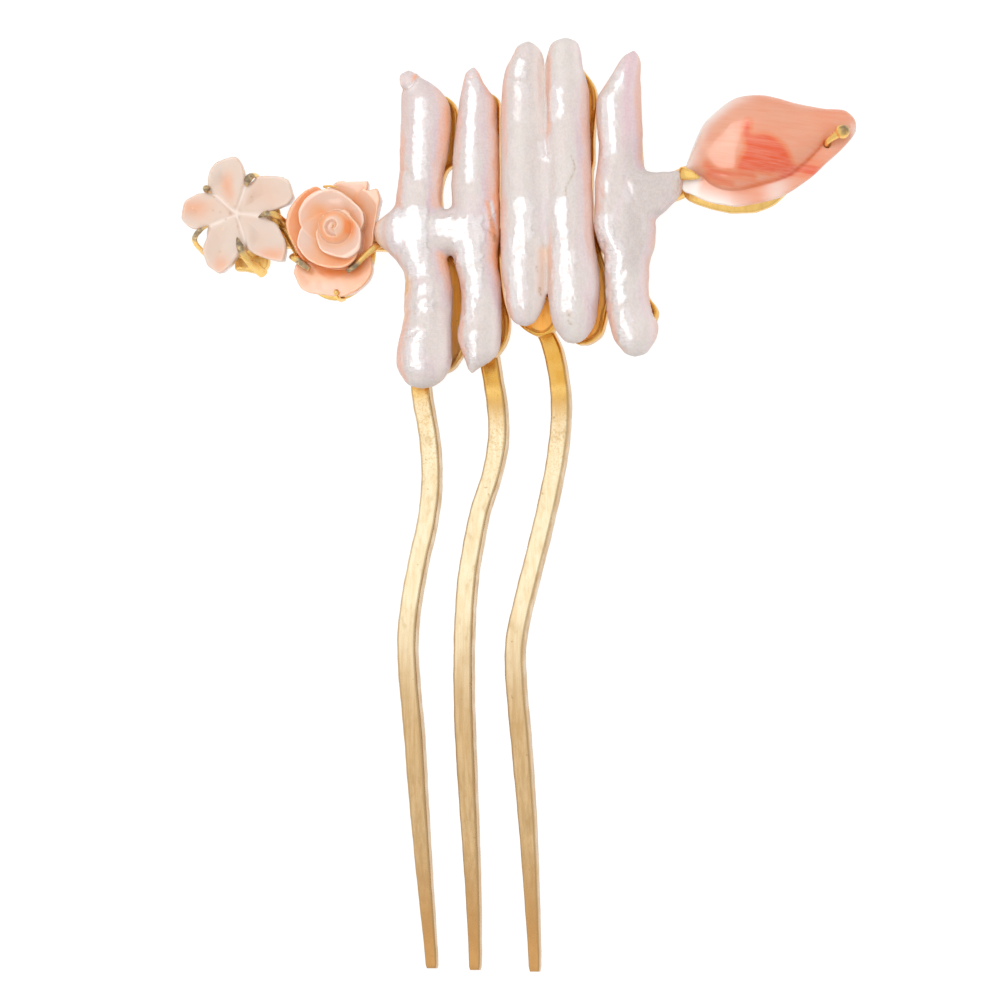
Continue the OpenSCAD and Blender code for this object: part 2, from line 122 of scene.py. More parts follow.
CROSS_UP = [
    (12.3, 47.2, 0), (12, 46.6, 0.75), (11.75, 45.7, 1.2), (11.4, 44.6, 1.55), (11, 43.3, 1.95),
    (10.65, 42.2, 2.3), (10.6, 41, 2.4), (10.75, 38.6, 2.4), (10.8, 36.9, 2.3), (10.8, 35.2, 2.4),
    (11, 33, 2.85), (11.1, 31, 3.02), (11.3, 28.6, 3.2), (11.4, 27.4, 3.05), (11.55, 26.2, 2.75),
    (11.55, 25.2, 2.4), (11.45, 24, 2.35), (11.5, 21.5, 2.25), (11.75, 19.6, 2.35), (12.2, 18.1, 2.5),
    (12.3, 16.8, 2.2), (12.35, 15.8, 1.55), (12.35, 15.2, 0.95), (12.3, 14.9, 0),
]
CROSS_ARM = [
    (11.5, 31.6, 2.6), (13.5, 31.7, 2.55), (15, 31.95, 2.25), (16, 32.4, 1.85), (16.8, 32.85, 1.45),
    (17.2, 33.1, 1.1), (17.4, 33.3, 0),
]

# Creases across or along the pearls. Columns: x and y of three points, width, depth, warmth of its colour.
PAIR_CREASES = [
    (-12.5, 23.3, -9.6, 23.7, -6.6, 23.5, 0.42, 0.12, 0.15),
    (-12.4, 19.9, -9.3, 20.5, -6.5, 20.2, 0.4, 0.18, 0.15),
    (-12.7, 24.3, -12.1, 23.4, -12.0, 22.6, 0.5, 0.1, 0.9),
    (-11.6, 17.3, -10.8, 17.9, -9.6, 18.4, 0.3, 0.16, 0.1),
    (-12.7, 43.8, -11.5, 43.9, -10.7, 45.2, 0.2, 0.3, 0.35),
    (-5.7, 45.1, -5.0, 44.8, -4.3, 45.1, 0.2, 0.14, 0.5),
    (-12.6, 35.2, -11.4, 34.6, -10.6, 33.0, 0.5, 0.14, 0.2),
    (-2.9, 31.4, -2.6, 29.6, -2.3, 28.2, 0.22, 0.24, 0.3),
    (-7.6, 33.0, -7.2, 31.6, -6.8, 31.2, 0.3, 0.1, 0.2),
    # The next two rows barely cut: they lay warm colour along the pair's left edge.
    (-12.3, 22.6, -12.4, 21.2, -12.3, 19.4, 0.35, 0.02, 0.9),
    (-15.0, 30.3, -15.5, 28.8, -14.8, 27.2, 0.55, 0.02, 0.8),
]
TWIN_CREASES = [
    (3.1, 46.0, 3.1, 42.5, 3.1, 38.6, 0.4, 0.3, 0.2),
    (3.1, 38.6, 3.1, 37.6, 3.4, 36.2, 0.3, 0.15, 0.15),
    (3.0, 26.0, 3.1, 24.2, 2.9, 22.0, 0.5, 0.26, 0.7),
    (-0.7, 44.4, 0.4, 44.0, 1.5, 44.3, 0.22, 0.08, 0.1),
]
CROSS_CREASES = [
    (11.6, 33.4, 12.0, 32.2, 12.5, 31.2, 0.3, 0.14, 0.0),
    (9.8, 34.3, 11.0, 34.4, 12.6, 33.9, 0.4, 0.08, 0.1),
    (13.0, 32.9, 14.6, 32.7, 15.8, 32.9, 0.22, 0.07, 0.0),
    (8.7, 32.6, 9.4, 31.3, 10.3, 30.3, 0.4, 0.1, 0.1),
    (12.5, 30.0, 13.2, 28.4, 13.4, 26.4, 0.5, 0.08, 0.0),
    (16.5, 33.0, 16.9, 32.3, 16.9, 31.6, 0.4, 0.02, 0.3),
]

# Where the pearls are lustrous. Columns: left, right, lower and upper edge, strength.
PAIR_LUSTRE = [
    (-10.9, -9.4, 34.0, 42.6, 0.9), (-11.5, -10.6, 43.5, 44.5, 0.7), (-13.0, -9.4, 27.2, 30.9, 1.0),
    (-12.0, -9.3, 26.0, 28.0, 1.0), (-11.5, -9.2, 23.7, 26.4, 0.85), (-10.5, -8.9, 21.7, 22.7, 0.8),
    (-10.6, -8.7, 19.8, 21.2, 0.75), (-11.5, -9.6, 13.6, 18.4, 0.75), (-8.8, -6.8, 27.8, 30.1, 0.8),
    (-5.2, -4.1, 33.6, 44.9, 0.85), (-6.7, -3.5, 24.8, 29.7, 1.0), (-5.3, -3.6, 21.5, 24.8, 0.9),
    (-5.5, -4.4, 18.8, 21.6, 0.8), (-5.1, -4.1, 14.4, 17.7, 0.8), (-4.9, -4.4, 44.9, 45.7, 0.6),
    (-3.1, -2.5, 28.6, 30.6, 0.8), (-12.7, -12.2, 44.2, 45.3, 0.7),
]
TWIN_LUSTRE = [
    (0.1, 1.3, 44.4, 46.3, 0.75), (-0.1, 1.7, 41.8, 44.0, 0.5), (-0.1, 1.4, 39.8, 41.8, 0.35),
    (0.1, 2.0, 27.2, 31.6, 0.7), (-0.6, 1.3, 20.2, 27.6, 0.7), (3.6, 5.1, 39.7, 43.3, 0.75),
    (2.8, 3.6, 35.6, 37.6, 0.6), (4.4, 5.7, 25.6, 31.4, 0.75), (4.0, 6.6, 19.4, 25.8, 0.65),
]
CROSS_LUSTRE = [
    (10.5, 11.6, 42.5, 45.0, 0.8), (9.1, 10.7, 35.9, 42.3, 0.95), (8.8, 10.1, 31.9, 33.3, 0.6),
    (11.7, 12.4, 31.2, 32.9, 0.6), (8.7, 10.5, 26.8, 29.6, 0.95), (9.4, 11.4, 23.5, 27.2, 0.95),
    (10.3, 11.7, 20.2, 23.7, 0.8), (10.9, 12.4, 15.8, 19.5, 0.75),
]
# Brown cracks and pits of the pearls: x and y of three points, half width, strength
PAIR_MARKS = [(-2.5, 28.0, -2.3, 27.2, -2.1, 26.6, 0.2, 0.8),
              (-3.1, 28.5, -2.9, 28.3, -2.8, 28.2, 0.12, 0.5)]
TWIN_MARKS = [
    (6.1, 35.8, 6.4, 34.4, 5.6, 32.5, 0.09, 0.55), (5.6, 32.5, 5.5, 32.1, 5.5, 31.7, 0.12, 0.6),
    (5.6, 19.6, 5.75, 19.3, 5.8, 19.1, 0.16, 0.6), (5.7, 18.6, 5.85, 18.3, 5.95, 18.2, 0.14, 0.5),
    (2.3, 24.4, 2.25, 24.1, 2.3, 23.9, 0.1, 0.5), (2.5, 22.2, 2.5, 21.8, 2.55, 21.5, 0.12, 0.6),
]
CROSS_MARKS = [(17.1, 33.0, 17.15, 32.5, 17.0, 32.0, 0.4, 0.55)]

# Trays under the pearls. Columns: y, left edge, right edge.
TRAYS = {
    "pair_left": [
        (43.4, -11, -8.3), (42.6, -12.2, -7.4), (41, -12.4, -6.95), (38, -12.4, -7.1), (36.3, -12.5, -7.2),
        (35.2, -12.6, -8.3), (32.5, -13, -8.8), (28, -13.2, -8), (26.2, -12.5, -7.5), (25.2, -12.3, -6.7),
        (22.7, -12, -6.25), (18, -12.2, -6.1), (16.3, -12.6, -6.3), (15.2, -12.4, -6.9), (14.3, -12, -7.7),
        (13.6, -11, -9.6),
    ],
    "pair_right": [
        (43.6, -5, -3.6), (42.7, -5.7, -2.6), (40, -6, -2.5), (36, -6.5, -2.5), (32, -6.7, -2.5),
        (28, -6.7, -2.5), (25, -6.2, -2.4), (21.7, -5.9, -2), (19.4, -6, -1.45), (17.4, -6.1, -1.7),
        (15.9, -5.5, -2.6), (15, -4.8, -3.8),
    ],
    "twin_left": [
        (46.8, -0.2, 1.2), (45.2, -1.2, 2), (42, -1.5, 2.3), (35.5, -1.6, 2.4), (29, -1.6, 2.4),
        (24.8, -1.5, 1.8), (22.9, -1.3, 1.8), (21.6, -1.2, 3.2), (20.4, -1.05, 3.9), (19.4, -0.75, 4),
        (18.6, -0.1, 3.6), (18, 0.7, 3.1), (17.6, 1.5, 2.4),
    ],
    "twin_right": [
        (46.8, 4.4, 5.6), (45.2, 3.6, 6.8), (44, 3.2, 7.6), (42.3, 3.1, 7.95), (40.2, 3.1, 7.75),
        (38.1, 3.1, 7.6), (36, 3.1, 7.6), (34.3, 3.1, 7.4), (29, 3.1, 7.6), (26.5, 3.2, 8.25),
        (25.2, 3.3, 8.7), (23.8, 3.5, 9.1), (22.2, 3.6, 9.25), (21, 3.8, 9.25), (20, 4, 9),
        (18.8, 4.2, 8.75), (17.6, 4.8, 8.35), (16.9, 5.4, 7.5), (16.6, 6, 6.8),
    ],
    "cross": [
        (45.8, 11, 12), (44, 10, 12.3), (42, 9, 12.5), (38, 8.9, 12.6), (35, 8.9, 12.8), (28.3, 9, 13.3),
        (25.9, 9.5, 12.9), (23.1, 9.6, 12.9), (21.4, 9.75, 13.4), (20.6, 9.8, 14), (19.8, 9.9, 14.35),
        (18.9, 10, 14.1), (17.6, 10.4, 13.7), (16.2, 11.4, 13.1),
    ],
    "arm": [(34, 12, 16.1), (33, 12, 16.4), (31.8, 12, 15.4), (30.8, 12, 14.2)],
}
# Profiles of plates: distance inward from the outline, height
LEAF_TRAY_PROFILE = [
    (0.9, BAR_TOP - 0.3), (0.35, BAR_TOP), (0.06, 2.0), (0.0, 2.35), (0.06, 2.7), (0.25, 2.84),
]
CLAW_SEAT_PROFILE = [(0.3, 1.3), (0.05, 1.5), (0.0, 2.1), (0.08, 2.35), (0.25, 2.45)]
# Cups under the corals: x, y, half width, half height
CUPS = {"cup_flower": (-30.2, 30.8, 4, 4), "cup_rose": (-20.1, 27.3, 4.2, 5.25)}
# Plate under the leaf. Columns: y, left edge, right edge.
LEAF_TRAY = [
    (41, 22.5, 29), (39, 20.2, 31.5), (36.5, 18.8, 33), (33.5, 17.3, 29.6), (31.8, 17.2, 27.8),
    (30.7, 19.4, 26.5), (30.0, 22, 24.6),
]
# Route of the bar along the back: x, y
BAR_ROUTE = [
    (-28.5, 29.8), (-20, 29.0), (-15, 28.85), (-10, 28), (0, 28), (9, 28.2), (11.8, 30.7), (14.2, 32.7),
    (16, 33.4), (18, 34.2), (22, 35.3), (27, 36.5),
]
BAR_WIDTH = 2.9
# How far apart the points of a plate's outline are
OUTLINE_STEP = 0.35
# Plate under the flower's lower claw: x, y
CLAW_SEAT = [(-31.4, 25.85), (-30.3, 25.55), (-29.2, 25.3), (-28.3, 25.35), (-27.6, 26.6), (-28.6, 28.4),
             (-31.0, 28.2)]

# Routes of the prongs: y, x. The bow is y, height as a share of BOW.
PRONGS = {
    "left": [
        (25, -10.7), (17, -11.25), (12.5, -11.2), (7, -10.3), (2.2, -10.05), (-2, -10.4), (-5.5, -11.05),
        (-10, -11.7), (-14, -12), (-18, -11.8), (-24, -11.25), (-30, -10.95), (-39, -10.55), (-48.2, -10.1),
    ],
    "middle": [
        (25, -5.4), (14.3, -3.65), (10.5, -3.05), (7, -2.95), (3.3, -3.6), (-0.5, -4.7), (-4.6, -5.35),
        (-8, -5.75), (-14, -5.95), (-21, -5.9), (-29, -5.65), (-39, -5.45), (-48.4, -5.5),
    ],
    "right": [
        (25, 0.9), (20, 1.4), (16.5, 2.9), (12.2, 3.7), (8.7, 3.75), (5, 3.35), (0.9, 2.65), (-4, 1.7),
        (-9, 0.6), (-14, -0.4), (-18, -0.45), (-26, 0.2), (-35, 0.65), (-48.6, 0.85),
    ],
}
BOW = 4.0
BOW_ROWS = [
    (25, 0.225), (8, 0.24), (2, 0.33), (-5, 0.65), (-12, 0.92), (-20, 1.02), (-28, 0.93), (-36, 0.64),
    (-43, 0.32), (-47.5, 0.125), (-49, 0.1),
]
# Width of the prongs and of their tips, how far left they lie of their routes, and where they taper
PRONG_W = 2.0
TIP_W = 1.15
PRONG_SHIFT = 0.1
TAPER_Y = -24
TAPER_LONG = 24.6
# Roundness of a prong's edges as a share of its half width, and the length of its blunt tip
EDGE_ROUND = 0.3
TIP_ROUND = 0.45

# Outlines of the flower's petals, from the middle round the tip and back: x, y
FLOWER_MIDDLE = (-30.5, 31.3)
PETALS = [
    [(-30.55, 31.4), (-32.2, 32.85), (-33.5, 33.8), (-33.65, 34.7), (-33.6, 35.5), (-33.4, 36.1),
     (-32.9, 36.8), (-32.3, 37.1), (-31.2, 37.4), (-30.5, 37.4), (-30.0, 36.9), (-29.7, 36.3),
     (-29.5, 35.7), (-29.45, 34.6), (-29.9, 33.0)],
    [(-30.4, 31.45), (-29.9, 33.0), (-29.4, 34.2), (-29.0, 34.6), (-28.2, 35.2), (-27.4, 35.3),
     (-26.1, 35.2), (-25.1, 34.9), (-24.6, 34.4), (-24.3, 33.5), (-24.2, 32.9), (-24.8, 32.1),
     (-25.7, 31.7), (-26.6, 31.4), (-28.1, 31.05)],
    [(-30.3, 31.2), (-28.1, 30.95), (-26.6, 30.4), (-26.0, 30.0), (-25.6, 29.3), (-25.1, 28.3),
     (-25.0, 27.5), (-25.1, 26.8), (-25.3, 26.1), (-25.7, 25.95), (-26.8, 26.2), (-27.9, 26.6),
     (-28.7, 27.0), (-29.35, 27.6), (-29.8, 29.4)],
    [(-30.5, 31.1), (-29.9, 29.4), (-29.45, 27.75), (-30.1, 27.0), (-30.6, 26.4), (-31.1, 25.7),
     (-31.6, 25.3), (-32.2, 24.9), (-32.8, 25.2), (-33.6, 25.8), (-33.9, 26.5), (-34.2, 27.3),
     (-34.1, 28.0), (-33.8, 28.8), (-33.6, 29.8), (-32.2, 30.5)],
    [(-30.7, 31.2), (-32.2, 30.6), (-33.5, 30.05), (-34.7, 29.7), (-35.5, 29.9), (-36.1, 30.4),
     (-36.5, 30.9), (-36.5, 31.4), (-36.4, 32.1), (-36.2, 32.8), (-35.6, 33.2), (-34.8, 33.6),
     (-34.1, 33.7), (-33.5, 33.75), (-32.2, 32.75)],
]
# Radius of the flower's solid middle, height of its rim, depth of the dish and of the valleys
FLOWER_CORE = 3.3
PETAL_RIM = 5.4
PETAL_DISH = 0.22
PETAL_VALLEY = 0.13
# Salmon patches on the flower. Columns: x, y, radius along x, radius along y, strength.
BLUSHES = [
    (-31.5, 34.5, 0.7, 1.35, 0.85), (-31.0, 33.2, 0.5, 0.8, 0.35), (-35.0, 32.1, 1.8, 0.85, 0.8),
    (-34.6, 31.0, 1.2, 0.6, 0.25), (-32.1, 25.9, 0.9, 1.1, 0.7), (-26.5, 26.8, 1.8, 0.8, 0.9),
    (-27.3, 33.2, 2.2, 1.6, 0.3), (-27.6, 28.6, 1.4, 1.0, 0.15), (-32.2, 29.0, 0.9, 0.9, 0.15),
]
# Small flecks on the flower: x, y, radius, darkness
FLECKS = [
    (-32.2, 31.5, 0.14, 0.5), (-30.6, 32.0, 0.13, 0.4), (-31.1, 31.4, 0.12, 0.4), (-33.0, 31.7, 0.1, 0.7),
    (-31.6, 30.7, 0.11, 0.8), (-32.2, 27.3, 0.12, 0.7), (-30.3, 29.9, 0.09, 0.5), (-32.9, 33.1, 0.1, 0.6),
    (-28.8, 33.0, 0.09, 0.6),
]

# The rose's petals. Each has an outline in x and y, the height of its lip, how warm its colour is, how far
# out it starts to fall towards the middle and how steeply. One may have a depth of its own.
ROSE_MIDDLE = (-19.45, 29.3)
ROSE_PETALS = [
    {"outline": [(-21.4, 33.75), (-22.7, 33.65), (-23.5, 33.1), (-24.5, 32.0), (-24.95, 31.0),
                 (-25.1, 29.8), (-24.5, 28.2), (-23.8, 26.8), (-22.8, 25.9), (-20.8, 27.4),
                 (-20.2, 31.0)],
     "lip": 5.4, "warm": 0.65, "reach": 5.3, "slope": 0.4},
    {"outline": [(-20.7, 33.4), (-20.4, 33.9), (-19.4, 34.5), (-18.3, 34.35), (-16.7, 34.35), (-16.2, 34.3),
                 (-16.25, 33.5), (-16.3, 31.4), (-17.2, 29.6), (-19.6, 29.6), (-20.6, 31.4)],
     "lip": 5.08, "warm": 0.2, "reach": 5.4, "slope": 0.2},
    {"outline": [(-16.9, 33.4), (-16.0, 33.3), (-15.2, 33.45), (-14.9, 32.9), (-14.8, 32.2), (-15.1, 31.0),
                 (-15.4, 29.7), (-15.6, 28.8), (-15.65, 27.8), (-16.1, 26.8), (-17.4, 26.6), (-18.8, 29.0),
                 (-18.2, 32.0)], "lip": 5.6, "warm": 0.35, "reach": 4.9, "slope": 0.5},
    {"outline": [(-23.9, 26.0), (-24.3, 25.0), (-24.2, 24.5), (-23.6, 23.3), (-23.0, 22.8), (-22.0, 22.5),
                 (-21.0, 22.35), (-20.0, 22.2), (-18.9, 22.15), (-17.8, 22.5), (-16.9, 23.1), (-16.2, 23.9),
                 (-15.8, 24.9), (-15.9, 25.8), (-16.2, 26.6), (-18.0, 27.6), (-21.8, 27.4)],
     "lip": 5.0, "warm": 0.45, "reach": 7.2, "slope": 0.14, "hollow": 0.03},
    {"outline": [(-23.1, 29.4), (-23.4, 30.6), (-23.3, 31.4), (-22.6, 32.5), (-21.5, 33.2), (-20.0, 33.4),
                 (-18.9, 33.1), (-17.8, 32.3), (-16.7, 31.2), (-16.4, 30.4), (-16.5, 29.4), (-17.4, 28.4),
                 (-19.6, 28.0), (-21.8, 28.2)], "lip": 6.75, "warm": 0.15, "reach": 3.95, "slope": 0.5},
    {"outline": [(-20.9, 31.0), (-21.6, 30.7), (-22.6, 30.1), (-23.15, 29.4), (-23.45, 28.4), (-23.5, 27.5),
                 (-23.0, 26.6), (-22.1, 25.7), (-20.7, 25.1), (-19.6, 24.9), (-18.5, 24.95), (-17.6, 25.4),
                 (-17.0, 26.4), (-17.2, 28.0),
                 (-19.0, 30.0)], "lip": 6.85, "warm": 0.3, "reach": 4.3, "slope": 0.46},
    {"outline": [(-18.6, 31.2), (-17.5, 30.2), (-16.65, 29.0), (-16.5, 27.9), (-16.65, 26.8), (-17.4, 26.1),
                 (-18.2, 25.85), (-19.3, 26.1), (-20.4, 26.5), (-21.0, 27.0), (-21.45, 28.1), (-21.5, 29.0),
                 (-20.7, 30.0)], "lip": 7.2, "warm": 0.12, "reach": 3.3, "slope": 0.5},
]
# Places on the rose that are paler or more orange: x, y, radius along x, radius along y, strength
ROSE_TINTS_AND_SHADE = [
    (-22.8, 28.6, 0.8, 1.6, -0.3), (-19.8, 25.3, 2.2, 0.9, 0.25), (-21.0, 23.2, 2.2, 0.8, -0.2),
    # (-16.2, 31.4): painted light, lifting the shade on the back right petal; (-17.75, 29.2): painted shade
    # in the pit right of the bud
    (-20.6, 24.6, 1.6, 0.4, 0.1), (-21.5, 31.3, 1.2, 0.8, 0.25), (-16.2, 31.4, 0.9, 2.0, -0.12),
    (-17.75, 29.2, 0.45, 0.9, 0.6), (-16.9, 24.4, 1.3, 1.4, 0.2),
]
# The rose's bud, and how deep its petals are
BUD_RADIUS = 1.8
BUD_TOP = 8.1
BUD_WARM = 0.15
PETAL_HOLLOW = 0.09

# The leaf. Columns: x, lower edge, fold, upper edge, height of the dome.
LEAF_ROWS = [
    (17.15, 32.55, 32.8, 33.1, 4.2), (17.55, 32.1, 33.6, 34.2, 4.8), (18.3, 31.8, 34.1, 36.4, 5.6),
    (19.4, 31.2, 33.6, 39, 6.4), (20.4, 30.85, 32.7, 40.1, 6.87), (21.7, 30.6, 32.1, 41.1, 7.3),
    (23, 30.4, 32.0, 41.8, 7.57), (24.3, 30.5, 32.2, 42.05, 7.6), (25.8, 30.75, 32.6, 42.05, 7.45),
    (27.4, 31.15, 33.0, 41.7, 7.15), (28.7, 31.8, 33.5, 41.3, 6.8), (29.8, 32.5, 34.3, 41.0, 6.45),
    (31.1, 33.4, 35.5, 40.7, 6.0), (32.4, 34.6, 36.8, 40.45, 5.5), (34.2, 36.2, 38.0, 40.3, 4.9),
    (35.2, 37.3, 38.5, 39.6, 4.45), (35.6, 38, 38.4, 38.9, 4.2),
]
# The leaf's deepest red: an outline in x and y
DEEP_RED = [
    (24.3, 39.0), (24.9, 39.0), (25.0, 37.6), (26.7, 37.5), (28.3, 36.4), (28.9, 35.1), (29.1, 34.0),
    (27.5, 33.6), (25.5, 33.7), (23.5, 34.0), (23.8, 35.0), (24.4, 36.2), (24.1, 37.6),
]
# Creases of the leaf: x and y of three points, width, depth, redness
LEAF_CREASES = [
    (20.1, 34.6, 21.4, 33.7, 24.9, 33.3, 0.3, 0.06, 0.4),
    (20.2, 33.7, 21.2, 33.1, 22.6, 32.6, 0.25, 0.06, 0.35),
]
# Height of the leaf's flange, and the radius of the hole of its pin
LEAF_TOP = 4.45
LEAF_HOLE = 0.36
# The red patch below the leaf's fold, the deeper left of its dome and its white end, whose white is a
# painted soft highlight: as the blushes
LEAF_PATCH = (30.8, 34.0, 1.3, 0.7, 0.8)
LEAF_LEFT = (21.4, 33.6, 2.2, 1.2, 0.15)
LEAF_END = (35.4, 37.9, 0.6, 0.9, 0.6)
# How far the leaf's grain is turned, in degrees
GRAIN_TURN = -9

# The route of the leaf's pin: x, y, height
LEAF_PIN = [(32.5, 36.6, 2), (32.5, 36.6, 4.9), (33.2, 37.05, 5.75), (34.3, 37.6, 6.3)]
# Claws, posts and a strap, from the setting to the tip: route as x, y and height, half widths along it,
# thickness as a share of the width
WIRES = {
    "flower_claw_0": (
        [(-29.3, 34.4, 2), (-28.85, 35.1, 2.25), (-28.65, 35.35, 3.3), (-28.65, 35.4, 4.8),
         (-28.85, 35.15, 5.6), (-29.1, 34.7, 5.8), (-29.35, 34.1, 5.6)],
        [0.5, 0.42, 0.36, 0.36, 0.42, 0.42, 0.06], 0.7),
    "flower_claw_1": (
        [(-28, 30.4, 2), (-26.4, 30.3, 2.3), (-25.6, 30.3, 3.4), (-25.7, 30.6, 4.9), (-26.3, 31.0, 5.75),
         (-27.1, 31.0, 5.9), (-28.0, 30.75, 5.6)],
        [0.55, 0.5, 0.46, 0.42, 0.44, 0.4, 0.06], 0.7),
    "flower_claw_2": (
        [(-28.3, 25.25, 2.3), (-28.5, 25.45, 3.2), (-28.9, 25.95, 4.4), (-29.4, 26.7, 5.5),
         (-29.85, 27.6, 5.9), (-30.3, 28.7, 5.6)],
        [0.55, 0.5, 0.48, 0.45, 0.42, 0.06], 0.7),
    "flower_claw_3": (
        [(-33.0, 28.0, 2), (-34.3, 27.5, 2.4), (-34.85, 27.9, 3.4), (-35.05, 28.4, 4.8), (-34.9, 28.9, 5.5),
         (-34.3, 29.5, 5.8), (-33.4, 30.0, 5.6)],
        [0.42, 0.34, 0.28, 0.27, 0.28, 0.28, 0.06], 0.7),
    "strap": (
        [(-27.2, 31.2, 2.2), (-25.9, 30.0, 2.7), (-25.0, 28.4, 2.8), (-23.9, 26.4, 2.5)],
        [0.5, 0.5, 0.45, 0.4], 0.6),
    "flower_post": (
        [(-32.2, 32.4, 2), (-33.7, 34, 2.6), (-33.8, 34.1, 4.2), (-33.7, 34, 5.2), (-33.6, 33.95, 5.7)],
        [0.36, 0.34, 0.3, 0.26], 0.8),
    "rose_claw_0": (
        [(-23.0, 27.0, 2), (-24.2, 26.9, 2.6), (-24.5, 26.7, 4.2), (-24.2, 26.4, 5.3), (-23.6, 26.0, 5.65),
         (-23.0, 25.55, 5.7), (-22.4, 25.1, 5.6)],
        [0.45, 0.45, 0.42, 0.38, 0.37, 0.36, 0.28], 0.75),
    "rose_claw_1": (
        [(-16.8, 28.2, 2), (-15.4, 28.0, 2.6), (-14.95, 27.7, 4.1), (-15.4, 27.2, 5.3), (-16.4, 26.3, 5.8),
         (-17.4, 25.3, 5.85), (-18.3, 24.75, 5.6)],
        [0.45, 0.45, 0.42, 0.38, 0.37, 0.36, 0.28], 0.75),
    "rose_top_claw": (
        [(-21.0, 32.8, 2.3), (-21.0, 33.7, 2.5), (-21.0, 33.9, 3.4), (-21.0, 33.9, 4.9), (-20.8, 33.8, 5.6),
         (-20.1, 33.8, 5.75), (-19.3, 33.6, 5.7)],
        [0.3, 0.16, 0.13, 0.13, 0.13, 0.12, 0.06], 0.8),
    "rose_post": (
        [(-19.5, 22.3, 2.5), (-19.5, 22.05, 3.3), (-19.5, 22.0, 4.3), (-19.6, 22.4, 5.0)],
        [0.4, 0.28, 0.2, 0.2], 0.8),
    "leaf_claw": (
        [(18.6, 33.4, 2.2), (17.1, 34.3, 2.6), (17.1, 34.1, 4.6), (17.5, 33.9, 5.5), (18.5, 33.6, 5.95),
         (19.4, 33.3, 6.0)],
        [0.5, 0.6, 0.66, 0.72, 0.5, 0.06], 0.45),
    "leaf_pin": (LEAF_PIN, [0.24, 0.24, 0.34, 0.5], 1.0),
}
# Balls of metal: x, y, height, width
BALLS = [(-33.6, 33.95, 5.85, 0.8), (-19.6, 22.6, 5.15, 0.6), (34.4, 37.6, 6.3, 1.48)]
# Worn ends of the claws: x, y, height, radius
WORN = [
    (-29.0, 34.9, 5.9, 1.0), (-27.3, 31, 6.0, 1.1), (-30.0, 27.9, 6.0, 1.3), (-34.5, 29.2, 5.6, 1.1),
    (-33.5, 33.9, 5.9, 0.6), (-23.1, 25.6, 5.7, 1.0), (-17.9, 25.1, 5.8, 1.35), (34.6, 37.7, 6.6, 0.7),
]

# Colours, as shares of red, green and blue
NACRE = {
    "body": (0.57, 0.5, 0.47), "light": (0.575, 0.525, 0.49), "lilac": (0.61, 0.47, 0.52),
    # grey: painted shade on the cross's flat facet
    "mottle": (0.65, 0.575, 0.54), "pink": (0.6, 0.41, 0.45), "grey": (0.5, 0.435, 0.41),
    # facing: painted light on the right-facing sides; band: a painted lilac sheen; salmon: a painted
    # reflection of the gilt
    "facing": (0.88, 0.79, 0.75), "band": (0.57, 0.42, 0.46), "salmon": (0.72, 0.44, 0.36),
    # orange and left: painted reflections of the gilt on the right and left edges; warm: painted gilt
    # reflection low on the sides, with the creases' warm colour
    "orange": (0.9, 0.42, 0.2), "left": (0.7, 0.42, 0.33), "warm": (0.8, 0.55, 0.37),
    # deep: the same where it is strongest; lustre: a painted highlight, pale under the lustrous places
    "deep": (0.74, 0.42, 0.18), "lustre": (0.8, 0.76, 0.77), "spotty": (0.9, 0.84, 0.8),
    "mark": (0.34, 0.2, 0.09),
}
PALE = {
    "body": (0.53, 0.42, 0.335), "light": (0.53, 0.44, 0.37), "salmon": (0.6, 0.27, 0.13),
    # edge: painted light for the flower's low edges and valleys
    "edge": (0.82, 0.7, 0.63), "fleck": (0.4, 0.22, 0.1), "speck": (0.85, 0.55, 0.3),
}
SALMON = {
    "pale": (0.7, 0.52, 0.43), "body": (0.75, 0.38, 0.2), "deep": (0.76, 0.24, 0.06),
    "cloud": (0.7, 0.5, 0.4),
}
LEAF = {
    "pale": (0.67, 0.33, 0.215), "body": (0.69, 0.19, 0.07), "deep": (0.66, 0.08, 0.016),
    "line": (0.71, 0.4, 0.28), "white": (0.74, 0.67, 0.62),
}
GILT = {
    # Among these, the lower prongs' browns, tip and deep are painted shade, margin is partly painted shade,
    # and the head's warmer gold is partly painted reflection
    "body": (0.94, 0.74, 0.45), "light": (1.0, 0.86, 0.59), "prong_shade": (0.59, 0.38, 0.175),
    "prong_shade_light": (0.7, 0.48, 0.25), "tip": (0.61, 0.33, 0.12), "deep": (0.72, 0.4, 0.1),
    "head_gold_and_painted_bounce": (0.95, 0.61, 0.19), "rich": (0.74, 0.39, 0.07), "tray": (0.98, 0.48, 0.07),
    "tray_light": (1.0, 0.6, 0.16), "margin": (0.6, 0.4, 0.2), "pit": (0.72, 0.44, 0.14),
    "groove": (0.35, 0.16, 0.03), "grime": (0.6, 0.36, 0.12), "spot": (0.45, 0.27, 0.1),
    "worn": (0.3, 0.23, 0.15),
}

# In metres: what the camera looks at, and the middle of the head, which the lights are aimed at
LOOK_AT = Vector((-0.002647, 0.00075, 0.0))
HEAD = Vector((0, 0.02, 0.005))


# Curves and fields


def smooth_rows(rows, steps=8, closed=False):
    """A smooth curve through rows of any number of columns, with steps points to a span."""
    rows = np.array(rows, float)
    count = len(rows)
    spans = count if closed else count - 1
    t = np.linspace(0, 1, steps, endpoint=False)[:, None]
    parts = []
    for i in range(spans):
        if closed:
            a, b, c, d = (rows[(i + k) % count] for k in (-1, 0, 1, 2))
        else:
            a, b, c, d = (rows[min(max(i + k, 0), count - 1)] for k in (-1, 0, 1, 2))
        bend = a - 2.5 * b + 2 * c - d / 2
        twist = d - a + 3 * (b - c)
        parts.append(b + (c - a) * t / 2 + bend * t**2 + twist * t**3 / 2)
    if not closed:
        parts.append(rows[-1:])
    return np.concatenate(parts)


